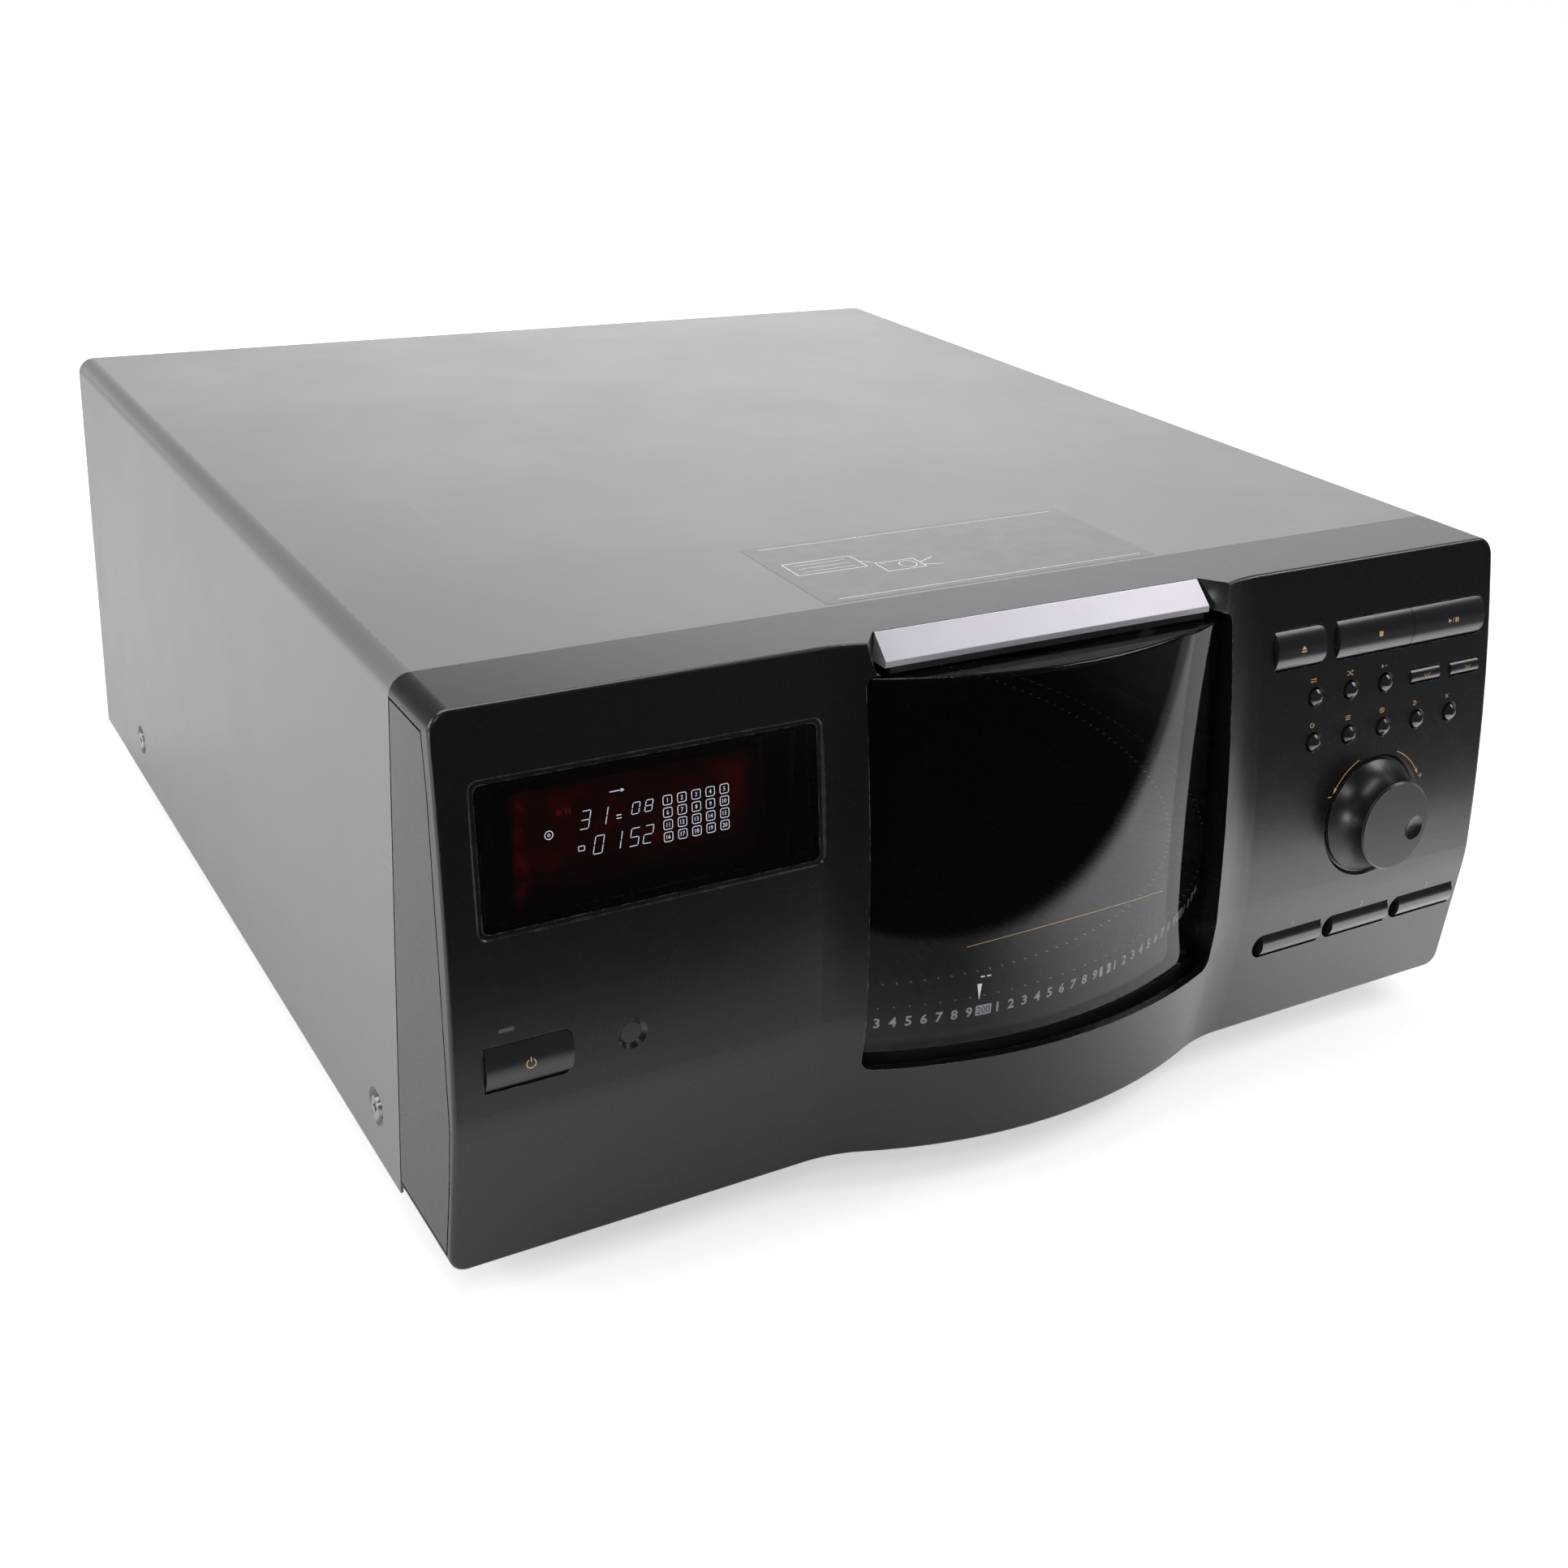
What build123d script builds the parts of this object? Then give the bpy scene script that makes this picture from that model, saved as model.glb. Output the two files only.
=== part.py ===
from build123d import *
from math import asin, atan, cos, degrees, hypot, pi, radians, sin, sqrt
import os

# Two hundred disc carousel changer, in millimetres.
# X runs to the right as seen from the front, the front faces -Y, Z is up.
# The origin is at the middle of the footprint, on the surface it stands on.

# ---------------------------------------------------------------- driving sizes
# case
body_width = 435.0          # over the cover's sides
cover_height = 182.5        # cover's lower edge to its top
cover_depth = 420.5         # front seam to the cover's rear edge
cover_sheet = 1.0           # steel of the cover, the pan and the rear panel
cover_round = 7.0           # outer radius of the cover's long edges
foot_height = 16.0
jack_reach = 7.0            # jacks stand out this far behind the cover
part_gap = 0.3              # running clearance between curved neighbours
seat_gap = 0.1              # clearance of screws, pins and shafts in their holes

# front panel
panel_wall = 3.0
panel_drop = 0.7            # the panel's lower edge hangs below the cover's
panel_foot_round = 6.0      # its lower corners
brow_reach = 31.0           # panel's top front edge ahead of the seam
nose_reach = 48.7           # its most forward line
nose_height = 53.0          # that line above the cover's lower edge
toe_reach = 44.2            # its lower front edge ahead of the seam
brow_sagitta = 2.93         # bow of the leaning face between nose and brow
nose_blend = 60.0
edge_round = 1.5
bulge_radius = 205.0        # swelling under the window, in plan
bulge_height = 17.0
bulge_blend = 60.0
tongue_length = 7.0         # panel's tongue inside the cover

# window, its notch and the bar above it
window_x = 3.0              # middle of the window and of the carousel
window_half = 77.0
window_sill = 34.7          # above the cover's lower edge
window_corner = 4.5
jamb_depth = 9.0            # return of the right jamb
bar_half = 68.0
bar_setback = 25.0          # bar's rear face ahead of the seam
bar_reach = 33.0            # bar's front edge ahead of the seam
bar_drop = 9.9              # bar's bottom below the panel's top
bar_lip = 2.2               # its upright lower facet
notch_reach = 30.0          # depth over which the notch beside the bar widens
notch_low_flare = 0.45      # its widening per depth at the bottom
notch_high_flare = 0.89     # and at the top
notch_top_gap = 0.7         # its clearance beside the bar at the top
peg_spread = 50.0           # the bar's pegs from its middle
peg_radius = 1.5
peg_rise = 5.0              # above the bar's bottom
felt_thickness = 2.0
felt_depth = 6.0

# display
display_x = -148.5
display_height = 137.5      # its middle above the cover's lower edge
display_width = 118.6
display_tall = 49.6
display_rim = 2.2
display_plate = 2.4
tube_width = 86.0
tube_tall = 40.0
tube_thick = 6.5
board_sheet = 1.6
board_setback = 14.0        # front of each board behind the panel's face
switch_height = 3.6

# buttons: travel, wall clearance and stop flange
button_travel = 0.8
button_gap = 0.25
flange_rim = 1.2
flange_thick = 1.2
stem_size = 4.0
cap_crown = 2.4             # bow of a convex cap across its height
round_radius = 3.1
round_dome = 1.5
round_pitch = 18.2
round_x = 123.9             # first button of both rows
round_upper = 134.1         # upper row above the cover's lower edge
round_lower = 116.9
skip_pitch = 21.6
bar_button_pitch = 36.7
pocket_tip = 3.9            # rounded left end of a bar button's pocket

# jog dial
dial_x = 158.4
dial_height = 81.4
dial_base = 22.6            # radius at the panel
dial_face = 17.6            # radius of its flat front
dial_length = 12.4
dial_dish = 25.0            # radius of the dish around it
dish_depth = 1.6
dial_shaft = 3.0
dimple_radius = 4.8
dimple_offset = 10.1
dimple_depth = 1.6

# door, a conical smoked shell on a rail
door_top = 170.0            # above the cover's lower edge
door_bottom = 38.0
door_top_radius = 189.3
door_bottom_radius = 199.2
door_wall = 3.0
door_flange = 12.0
door_right = 22.4           # edges of the closed door, degrees from the front
door_left = -25.5
door_corner = 5.0
rail_left = -50.0           # left end of the rail and its rack
rail_wall = 5.8

# carousel
slot_count = 200
rim_radius = 183.0
rim_wall = 1.6
rim_height = 9.0
plate_height = 32.5         # carousel plate's underside above the cover's edge
plate_thick = 2.5
comb_height = 9.5
outer_comb = (128.0, 174.0)
inner_comb = (82.0, 100.0)
slot_width = 1.5
hub_radius = 62.0           # bore of the carousel
hub_wall = 2.6
disc_radius = 60.0

# gears
gear_module = 1.5
ring_teeth = 92
pinion_teeth = 16
rack_teeth = 252            # of a full circle
door_gear_relief = 0.9      # the door's gear keeps this much lower under the plate
tooth_share = 0.40          # tooth thickness as a share of the pitch
gear_slack = 0.25           # added to each centre distance

# deck under the carousel
deck_sheet = 2.5
deck_height = 20.0          # deck's underside above the cover's lower edge
deck_radius = 199.8
groove_rib = 1.4
roller_radius = 6.0
roller_width = 6.0
roller_track = 148.0
roller_pin = 1.5
roller_angles = (75.0, 195.0, 315.0)
motor_radius = 14.0
motor_length = 15.0
motor_shaft = 1.5
carousel_gear_angle = 20.0  # from +X, seen from above
door_gear_angle = -36.0     # from the front, towards +X

# player in the middle of the ring
frame_offset = 16.0         # disc plane to the frame's near face
frame_sheet = 2.5
frame_half = 40.0
spindle_drop = 0.9          # turntable's face to the disc plane's middle
turntable_radius = 14.0
sled_start = 24.0           # pickup's first track below the spindle
rail_spread = 18.0
rail_radius = 1.5
clamp_angle = 10.0
puck_radius = 13.0
bridge_width = 30.0
bridge_depth = 12.0
bridge_wall = 2.0
sled_module = 0.8           # of the pickup's rack
sled_teeth = 15
rack_count = 15             # teeth of the pickup's rack

# screws, feet, sockets and what stands on the pan
side_screw_places = (22.2, 345.0)   # behind the seam
side_screw_rise = 19.6      # above the cover's lower edge
rear_screw_x = (-150.0, 0.0, 150.0)
rear_screw_drop = 6.0       # below the cover's top
dimple_sink = 1.5
screw_head = 4.4
screw_head_height = 1.9
screw_radius = 1.5
screw_length = 7.0
recess_length = 4.0         # arms of the cross in a screw's head
recess_width = 0.9
foot_radius = 17.0
foot_spread = 160.0
foot_rows = (42.0, 372.0)   # behind the seam
jack_places = ((-150.0, 62.0), (-150.0, 44.0), (-120.0, 62.0), (-120.0, 44.0))
jack_radius = 4.2
gland_place = (170.0, 45.0)
gland_radius = 7.0
post_track = 118.0          # circle of the deck's legs
board_rise = 8.0            # main board above the cover's lower edge

# ---------------------------------------------------------------- derived places
base_z = foot_height
top_z = base_z + cover_height
toe_z = base_z - panel_drop
nose_z = base_z + nose_height
sill_z = base_z + window_sill
half_width = body_width / 2

toe_slope = (nose_reach - toe_reach) / (nose_z - toe_z)
sill_reach = toe_reach + toe_slope * (sill_z - toe_z)
front_reach = sill_reach + bulge_height
overall_depth = front_reach + cover_depth + jack_reach
seam_y = front_reach - overall_depth / 2
rear_y = seam_y + cover_depth
axis_x = window_x
axis_y = seam_y - front_reach + bulge_radius

# the leaning face between nose and brow is one arc
brow_chord = hypot(nose_reach - brow_reach, top_z - nose_z)
brow_radius = brow_chord**2 / (8 * brow_sagitta) + brow_sagitta / 2
chord_y = (nose_reach - brow_reach) / brow_chord
chord_z = (top_z - nose_z) / brow_chord
centre_push = brow_radius - brow_sagitta
brow_centre_y = seam_y - (nose_reach + brow_reach) / 2 + chord_z * centre_push
brow_centre_z = (nose_z + top_z) / 2 - chord_y * centre_push


def face_lean(height):
    """Backward lean of the panel's face at a height, in degrees."""
    if height < nose_z:
        return -degrees(atan(toe_slope))
    return degrees(asin((height - brow_centre_z) / brow_radius))


def face_y(height):
    """Y of the panel's flat face at a height."""
    if height < nose_z:
        return seam_y - toe_reach - toe_slope * (height - toe_z)
    return brow_centre_y - sqrt(brow_radius**2 - (height - brow_centre_z) ** 2)


def face_plane(x, height):
    """Plane on the panel's face: its Z points out of the panel, its Y up."""
    lean = radians(face_lean(height))
    return Plane(origin=(x, face_y(height), height), x_dir=(1, 0, 0), z_dir=(0, -cos(lean), sin(lean)))


def side_plane(face):
    """Plane square to a face plane: its X points out of the panel, its Y up."""
    return Plane(origin=face.origin, x_dir=face.z_dir, z_dir=-face.x_dir)


def polar(radius, angle, height=0.0):
    """Point around the carousel's axis, the angle in degrees from the front towards +X."""
    turn = radians(angle)
    return (axis_x + radius * sin(turn), axis_y - radius * cos(turn), height)


os.makedirs("parts", exist_ok=True)


def save(builder, name):
    """Label a finished piece and write its file."""
    builder.part.label = name
    export_step(builder.part, f"parts/{name}.step")


# ---------------------------------------------------------------- front panel form
half_chord = sqrt(bulge_radius**2 - (bulge_radius - bulge_height) ** 2)
with BuildPart() as form:
    with BuildLine(Plane.YZ) as profile:
        Line((seam_y - toe_reach, toe_z), (seam_y - nose_reach, nose_z))
        SagittaArc((seam_y - nose_reach, nose_z), (seam_y - brow_reach, top_z), brow_sagitta)
    profile_wire = profile.wires()[0]
    nose_points = [v for v in profile_wire.vertices() if abs(v.Z - nose_z) < 0.1]
    profile_wire = profile_wire.fillet_2d(nose_blend, nose_points)
    with BuildSketch(Plane.XY.offset(toe_z)) as plan:
        with BuildLine():
            flat_y = seam_y - toe_reach
            left_end = (window_x - half_chord, flat_y)
            right_end = (window_x + half_chord, flat_y)
            Line((-half_width, flat_y), left_end)
            ThreePointArc(left_end, (window_x, flat_y - bulge_height), right_end)
            Line(right_end, (half_width, flat_y))
            Line((half_width, flat_y), (half_width, flat_y + 90))
            Line((half_width, flat_y + 90), (-half_width, flat_y + 90))
            Line((-half_width, flat_y + 90), (-half_width, flat_y))
        make_face()
        blends = [v for v in plan.vertices() if abs(abs(v.X - window_x) - half_chord) < 0.01]
        fillet(blends, bulge_blend)
    sweep(path=profile_wire, normal=(0, 0, 1))


def front_block(half, low, high, low_round, high_round, start, reach):
    """Block with rounded long edges, from start towards the front."""
    with BuildPart() as block:
        with BuildSketch(Plane.XZ.offset(-start)) as face:
            with Locations((0, (low + high) / 2)):
                Rectangle(2 * half, high - low)
            fillet(face.vertices().group_by(Axis.Y)[0], low_round)
            fillet(face.vertices().group_by(Axis.Y)[-1], high_round)
        extrude(amount=reach)
    return block.part


def slab(x_from, x_to, y_from, y_to, z_from, z_to):
    """Plain box between two corners."""
    size = (x_to - x_from, y_to - y_from, z_to - z_from)
    place = Pos((x_from + x_to) / 2, (y_from + y_to) / 2, (z_from + z_to) / 2)
    return place * Box(*size, mode=Mode.PRIVATE)


def board_plane(x, height):
    """Plane of a circuit board's front, behind the panel's face."""
    return face_plane(x, height).offset(-board_setback)


def depth_to(face, board):
    """Distance from a face plane down its normal to a board's plane."""
    return (face.origin - board.origin).dot(board.z_dir) / face.z_dir.dot(board.z_dir)


# circuit boards behind the panel: plane, size and mounting posts
display_mount = board_plane(-154.5, 131.0)
display_posts = ((-46, 47), (46, 47), (-17.5, -47), (41, -46))
button_mount = board_plane(155.5, 156.0)
button_posts = ((-51, 27), (51, 27), (-51, -14.5), (52, -14.5))
dial_mount = board_plane(dial_x, base_z + dial_height)
dial_posts = ((-20, 18.5), (20, 18.5), (-20, -18.5), (20, -18.5))
bar_mount = board_plane(159.2, 53.0)
bar_posts = ((-50, 9.8), (50, 9.8), (-50, -9.8), (50, -9.8))
post_radius = 2.0

# caps: name, middle X, middle height, width, height, corner radius at the right, board
power_cap = ("power_button", -193.2, 72.2, 28.2, 14.6, 3.0)
transport_caps = (
    ("open_close_button", 115.2, 153.8, 24.2, 14.6, 3.0),
    ("stop_button", 153.35, 153.8, 38.7, 14.6, 0.0),
    ("play_button", 192.35, 153.8, 38.7, 14.6, 3.0),
)
skip_caps = (
    ("skip_back_button", 181.5, 134.1, 15.4, 5.4, 0.0),
    ("skip_forward_button", 181.5 + skip_pitch, 133.9, 15.4, 5.4, 0.0),
)
bar_caps = tuple(
    (f"disc_bar_{number + 1}", 124.0 + bar_button_pitch * number, 35.8, 30.6, 9.4, 0.0)
    for number in range(3)
)
round_places = tuple((round_x + round_pitch * step, round_upper) for step in range(3)) + tuple(
    (round_x + round_pitch * step, round_lower) for step in range(5)
)
cap_edge = -0.6             # a cap's long edges against the panel's face
rear_depth = panel_wall + button_gap + flange_thick
lens_height = 84.4
lens_x = -200.1
sensor_x = -158.8
sensor_height = 71.9
sensor_radius = 3.5


def cap_outline(cap, grow):
    """Front outline of a cap or of its opening, grown all round."""
    width = cap[3] + 2 * grow
    tall = cap[4] + 2 * grow
    with BuildSketch(mode=Mode.PRIVATE) as outline:
        Rectangle(width, tall)
        if cap[5] > 0:
            fillet(outline.vertices().group_by(Axis.X)[-1], cap[5] + grow)
    return outline.sketch


def bevelled_bore(face, radius, depth, flare, floor=None):
    """Cutter of a round hole through the wall, flared at the panel's face."""
    floor = radius if floor is None else floor
    slope = (radius + flare - floor) / depth
    profile = [(3, 0), (3, radius + flare + 3 * slope), (-depth, floor)]
    if floor > radius:
        profile.append((-depth, radius))
    profile += [(-8, radius), (-8, 0)]
    with BuildPart() as cutter:
        with BuildSketch(side_plane(face)):
            Polygon(*profile, align=None)
        revolve(axis=Axis(face.origin, face.z_dir))
    return cutter.part


def cap_face(cap):
    """Face plane at the middle of a cap."""
    return face_plane(cap[1], base_z + cap[2])


# ---------------------------------------------------------------- front panel
inner_half = half_width - panel_wall
inner_low = toe_z + panel_wall
inner_high = top_z - panel_wall
brow_block_z = base_z + door_top + 1.0
bar_low = top_z - bar_drop
bar_back = seam_y - bar_setback
bar_front = seam_y - bar_reach
peg_places = tuple((window_x + side * peg_spread, bar_low + peg_rise) for side in (-1, 1))
display_face = face_plane(display_x, base_z + display_height)
display_inner = (display_width - 2 * display_rim, display_tall - 2 * display_rim)
ring_front = 0.8 + display_plate
dial_plane = face_plane(dial_x, base_z + dial_height)

# rim behind the display's opening and posts that carry the boards
with BuildPart() as carriers:
    with BuildSketch(display_face.offset(-ring_front - 2.0)):
        Rectangle(display_inner[0] + 5, display_inner[1] + 5)
    extrude(amount=2.0 + ring_front - 1.5)
    for mount, posts in (
        (display_mount, display_posts),
        (button_mount, button_posts),
        (dial_mount, dial_posts),
        (bar_mount, bar_posts),
    ):
        with BuildSketch(mount):
            with Locations(*posts):
                Circle(post_radius)
        extrude(amount=board_setback - 2.6)

# everything that is cut out of the panel's front
with BuildPart() as cutters:
    # window
    with BuildSketch(Plane.XZ.offset(-seam_y + 15)):
        with Locations((window_x, (sill_z + bar_low) / 2)):
            RectangleRounded(2 * window_half, bar_low - sill_z, window_corner)
    extrude(amount=70)
    # notch for the bar, wider towards the front and the top
    with BuildSketch(Plane.XY.offset(bar_low)) as notch_low:
        low_flare = notch_reach * notch_low_flare
        Polygon(
            (window_x - bar_half - part_gap, bar_back),
            (window_x - bar_half - part_gap - low_flare, bar_back - notch_reach),
            (window_x + bar_half + part_gap + low_flare, bar_back - notch_reach),
            (window_x + bar_half + part_gap, bar_back),
            align=None,
        )
    with BuildSketch(Plane.XY.offset(top_z + 0.5)) as notch_high:
        high_flare = notch_reach * notch_high_flare
        Polygon(
            (window_x - bar_half - notch_top_gap, bar_back),
            (window_x - bar_half - notch_top_gap - high_flare, bar_back - notch_reach),
            (window_x + bar_half + notch_top_gap + high_flare, bar_back - notch_reach),
            (window_x + bar_half + notch_top_gap, bar_back),
            align=None,
        )
    loft([notch_low.sketch.face(), notch_high.sketch.face()], ruled=True)
    # peg holes of the bar
    with BuildSketch(Plane.XZ.offset(-bar_back - 4)):
        with Locations(*peg_places):
            Circle(peg_radius + seat_gap)
    extrude(amount=8)
    # display opening with a bevel and a seat for its window
    with BuildSketch(display_face.offset(-8)):
        RectangleRounded(display_inner[0] - 4, display_inner[1] - 4, 1.5)
    extrude(amount=12)
    with BuildSketch(display_face.offset(-ring_front)):
        RectangleRounded(display_inner[0], display_inner[1], 2.2)
    extrude(amount=ring_front + 4)
    with BuildSketch(display_face.offset(0.8)):
        RectangleRounded(display_width + 1.6, display_tall + 1.6, 4.4)
    extrude(amount=-1.6, taper=45)
    # openings of the caps
    for cap in (power_cap,) + transport_caps + skip_caps + bar_caps:
        with BuildSketch(cap_face(cap).offset(6)):
            add(cap_outline(cap, part_gap))
        extrude(amount=-14)
    # finger tips of the bar buttons' pockets
    for cap in bar_caps:
        with BuildSketch(cap_face(cap).offset(6)):
            with BuildLine():
                tip_x = -cap[3] / 2
                tip_y = cap[4] / 2 + part_gap
                Polyline((tip_x, -tip_y), (tip_x + 2, -tip_y), (tip_x + 2, tip_y), (tip_x, tip_y))
                ThreePointArc((tip_x, tip_y), (tip_x - pocket_tip, 0), (tip_x, -tip_y))
            make_face()
        extrude(amount=-14)
    # round openings: the buttons', the dial's dish and the sensor's
    for place in round_places:
        add(bevelled_bore(face_plane(place[0], base_z + place[1]), round_radius + part_gap, 0.7, 0.7))
    shaft_hole = dial_shaft + 0.5
    dish_floor = dial_base + 3 * part_gap
    add(bevelled_bore(dial_plane, shaft_hole, dish_depth, dial_dish - shaft_hole, dish_floor))
    sensor_plane = face_plane(sensor_x, base_z + sensor_height)
    add(bevelled_bore(sensor_plane, sensor_radius + seat_gap, 1.2, 1.4))
    # lamp slot and sensor window
    with BuildSketch(face_plane(lens_x, base_z + lens_height).offset(2)):
        Rectangle(5.0 + 2 * seat_gap, 1.2 + 2 * seat_gap)
    extrude(amount=-8)
    # groove around the inlay of each side
    inlay = (
        (seam_y - 0.1, 192.0),
        (seam_y - 26.8, 191.7),
        (seam_y - 31.0, 173.5),
        (seam_y - 38.6, 120.0),
        (seam_y - 45.4, 69.0),
        (seam_y - 44.6, 50.0),
        (seam_y - 41.5, 20.6),
        (seam_y - 0.1, 20.6),
    )
    for side_x in (-half_width - 1, half_width - 0.6):
        with BuildSketch(Plane.YZ.offset(side_x)):
            Polygon(*inlay, align=None)
            offset(amount=-0.8, mode=Mode.SUBTRACT)
        extrude(amount=1.6)

with BuildPart() as front_panel:
    add(front_block(half_width, toe_z, top_z, panel_foot_round, cover_round, seam_y, 85))
    add(form.part, mode=Mode.INTERSECT)
    rim_edges = [
        e
        for e in front_panel.edges()
        if e.bounding_box().max.Y < seam_y - 25
        and (abs(e.center().X) > half_width - 8 or not toe_z + 7 < e.center().Z < top_z - 8)
    ]
    fillet(rim_edges, edge_round)
    # tongue inside the cover
    with BuildSketch(Plane.XZ.offset(-seam_y)):
        tongue_low = base_z + cover_sheet + seat_gap
        tongue_high = top_z - cover_sheet - 0.15
        with Locations((0, (tongue_low + tongue_high) / 2)):
            RectangleRounded(2 * (half_width - cover_sheet - 0.15), tongue_high - tongue_low, 5.8)
    extrude(amount=-tongue_length)
    # hollow behind the face, the blocks beside the bar and the right jamb stay
    hollow = front_block(inner_half, inner_low, inner_high, 3, 4, seam_y + tongue_length, 90)
    hollow = hollow & (Pos(0, panel_wall, 0) * form.part)
    hollow = hollow - slab(window_x - 92, window_x + 92, seam_y - 70, bar_back + 3, brow_block_z, top_z)
    jamb = slab(
        window_x + window_half, window_x + window_half + 2, seam_y - 80, seam_y, sill_z - 4, brow_block_z
    )
    jamb = (jamb & (Pos(0, panel_wall, 0) * form.part)) - (Pos(0, panel_wall + jamb_depth, 0) * form.part)
    add(hollow - jamb, mode=Mode.SUBTRACT)
    add(carriers.part)
    add(cutters.part.solids(), mode=Mode.SUBTRACT)
save(front_panel, "front_panel")

# ---------------------------------------------------------------- caps and dial
def switch_on(face, board):
    """Switch under a cap: a block that stands on the board's front."""
    depth = depth_to(face, board)
    foot = face.origin - face.z_dir * depth
    with BuildPart() as switch:
        with BuildSketch(Plane(origin=foot, x_dir=(1, 0, 0), z_dir=board.z_dir).offset(-board_sheet / 2)):
            Rectangle(6, 6)
        extrude(amount=switch_height + board_sheet / 2)
    return switch.part


def stem_length(face, board):
    """Reach of a cap's stem behind its flange, short of the switch by the travel."""
    return depth_to(face, board) - switch_height - button_travel - 0.3 - rear_depth


def convex_cap(cap, board, left_rim=flange_rim, right_rim=flange_rim):
    """Cap bowed across its height, with a stop flange and a stem behind the panel."""
    face = cap_face(cap)
    width, tall = cap[3], cap[4]
    crown = cap_crown * min(1.0, tall / 14.0 + 0.25)
    flange = face.offset(-rear_depth)
    with BuildPart() as body:
        with BuildSketch(side_plane(face)):
            with BuildLine():
                Polyline(
                    (cap_edge, tall / 2),
                    (-rear_depth, tall / 2),
                    (-rear_depth, -tall / 2),
                    (cap_edge, -tall / 2),
                )
                ThreePointArc((cap_edge, -tall / 2), (cap_edge + crown, 0), (cap_edge, tall / 2))
            make_face()
        extrude(amount=width / 2, both=True)
        with BuildSketch(flange):
            add(cap_outline(cap, 0))
        extrude(amount=rear_depth + crown + 2, mode=Mode.INTERSECT)
        with BuildSketch(flange):
            with Locations(((right_rim - left_rim) / 2, 0)):
                Rectangle(width + left_rim + right_rim, tall + 2 * flange_rim)
        extrude(amount=flange_thick)
        with BuildSketch(flange):
            Rectangle(stem_size, min(stem_size, tall))
        extrude(amount=-stem_length(face, board))
    return body


def round_cap(place, board):
    """Small domed push button with a stop flange and a stem."""
    face = face_plane(place[0], base_z + place[1])
    flange = face.offset(-rear_depth)
    with BuildPart() as body:
        with BuildSketch(side_plane(face)):
            with BuildLine():
                Polyline(
                    (round_dome - 0.8, round_radius),
                    (round_dome - 1.2, round_radius),
                    (-rear_depth + flange_thick, round_radius),
                    (-rear_depth + flange_thick, round_radius + flange_rim),
                    (-rear_depth, round_radius + flange_rim),
                    (-rear_depth, 0),
                    (round_dome + 0.8, 0),
                )
                Spline(
                    (round_dome + 0.8, 0),
                    (round_dome - 0.8, round_radius),
                    tangents=((0, 1), (-0.6, 0.8)),
                )
            make_face()
        revolve(axis=Axis(face.origin, face.z_dir))
        with BuildSketch(flange):
            Rectangle(stem_size, stem_size)
        extrude(amount=-stem_length(face, board))
    return body


save(convex_cap(power_cap, display_mount, 0.8, 1.0), "power_button")
for cap in transport_caps:
    left_rim = 0.0 if cap[0] == "play_button" else flange_rim
    right_rim = 0.0 if cap[0] == "stop_button" else flange_rim
    save(convex_cap(cap, button_mount, left_rim, right_rim), cap[0])
for cap in skip_caps:
    save(convex_cap(cap, button_mount), cap[0])
for cap in bar_caps:
    save(convex_cap(cap, bar_mount, 4.4, 0.9), cap[0])
for number, place in enumerate(round_places):
    save(round_cap(place, button_mount), f"mode_button_{number + 1}")

# jog dial: flared knob with a finger dimple, its shaft runs into the encoder
dial_floor = -dish_depth + part_gap
with BuildPart() as jog_dial:
    with BuildSketch(side_plane(dial_plane)):
        with BuildLine():
            Polyline(
                (dial_length - 0.6, dial_face),
                (dial_length, dial_face - 0.6),
                (dial_length, 0),
                (dial_length - 5, 0),
                (dial_length - 5, dial_face - 3),
                (dial_floor, dial_base - 3),
                (dial_floor, dial_base),
                (dial_floor + 1.0, dial_base),
            )
            Spline(
                (dial_floor + 1.0, dial_base),
                (dial_length - 0.6, dial_face),
                tangents=((0.75, -0.66), (1, 0)),
            )
        make_face()
    revolve(axis=Axis(dial_plane.origin, dial_plane.z_dir))
    with BuildSketch(dial_plane.offset(dial_length - 5)):
        Circle(6.5)
    extrude(amount=-dial_length + 5 + dial_floor + 0.6)
    with BuildSketch(dial_plane.offset(dial_length - 5)):
        Circle(dial_shaft)
    extrude(amount=-(dial_length - 5) - board_setback + 2.5)
    dimple_turn = radians(-15.5)
    dimple_at = (dimple_offset * cos(dimple_turn), dimple_offset * sin(dimple_turn))
    ball = (dimple_radius**2 + dimple_depth**2) / (2 * dimple_depth)
    ball_plane = dial_plane.offset(dial_length + ball - dimple_depth)
    with Locations(ball_plane * Pos(*dimple_at)):
        Sphere(ball, mode=Mode.SUBTRACT)
save(jog_dial, "jog_dial")


# ---------------------------------------------------------------- boards
def board(mount, width, tall, shift=(0.0, 0.0)):
    """Bare circuit board behind its mounting plane."""
    with BuildPart() as sheet:
        with BuildSketch(mount):
            with Locations(shift):
                Rectangle(width, tall)
        extrude(amount=-board_sheet)
    return sheet.part


with BuildPart() as display_board:
    add(board(display_mount, 101, 102))
    add(switch_on(cap_face(power_cap), display_mount))
    # lamp and sensor stand on the board
    for x, height, radius, front in ((lens_x, lens_height, 2.0, 5.2), (sensor_x, sensor_height, 3.5, 5.2)):
        spot = face_plane(x, base_z + height)
        with BuildSketch(spot.offset(-front)):
            Circle(radius)
        extrude(amount=front - depth_to(spot, display_mount) - board_sheet / 2)
save(display_board, "display_board")

with BuildPart() as button_board:
    add(board(button_mount, 111, 60))
    for cap in transport_caps + skip_caps:
        add(switch_on(cap_face(cap), button_mount))
    for place in round_places:
        add(switch_on(face_plane(place[0], base_z + place[1]), button_mount))
save(button_board, "button_board")

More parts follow.
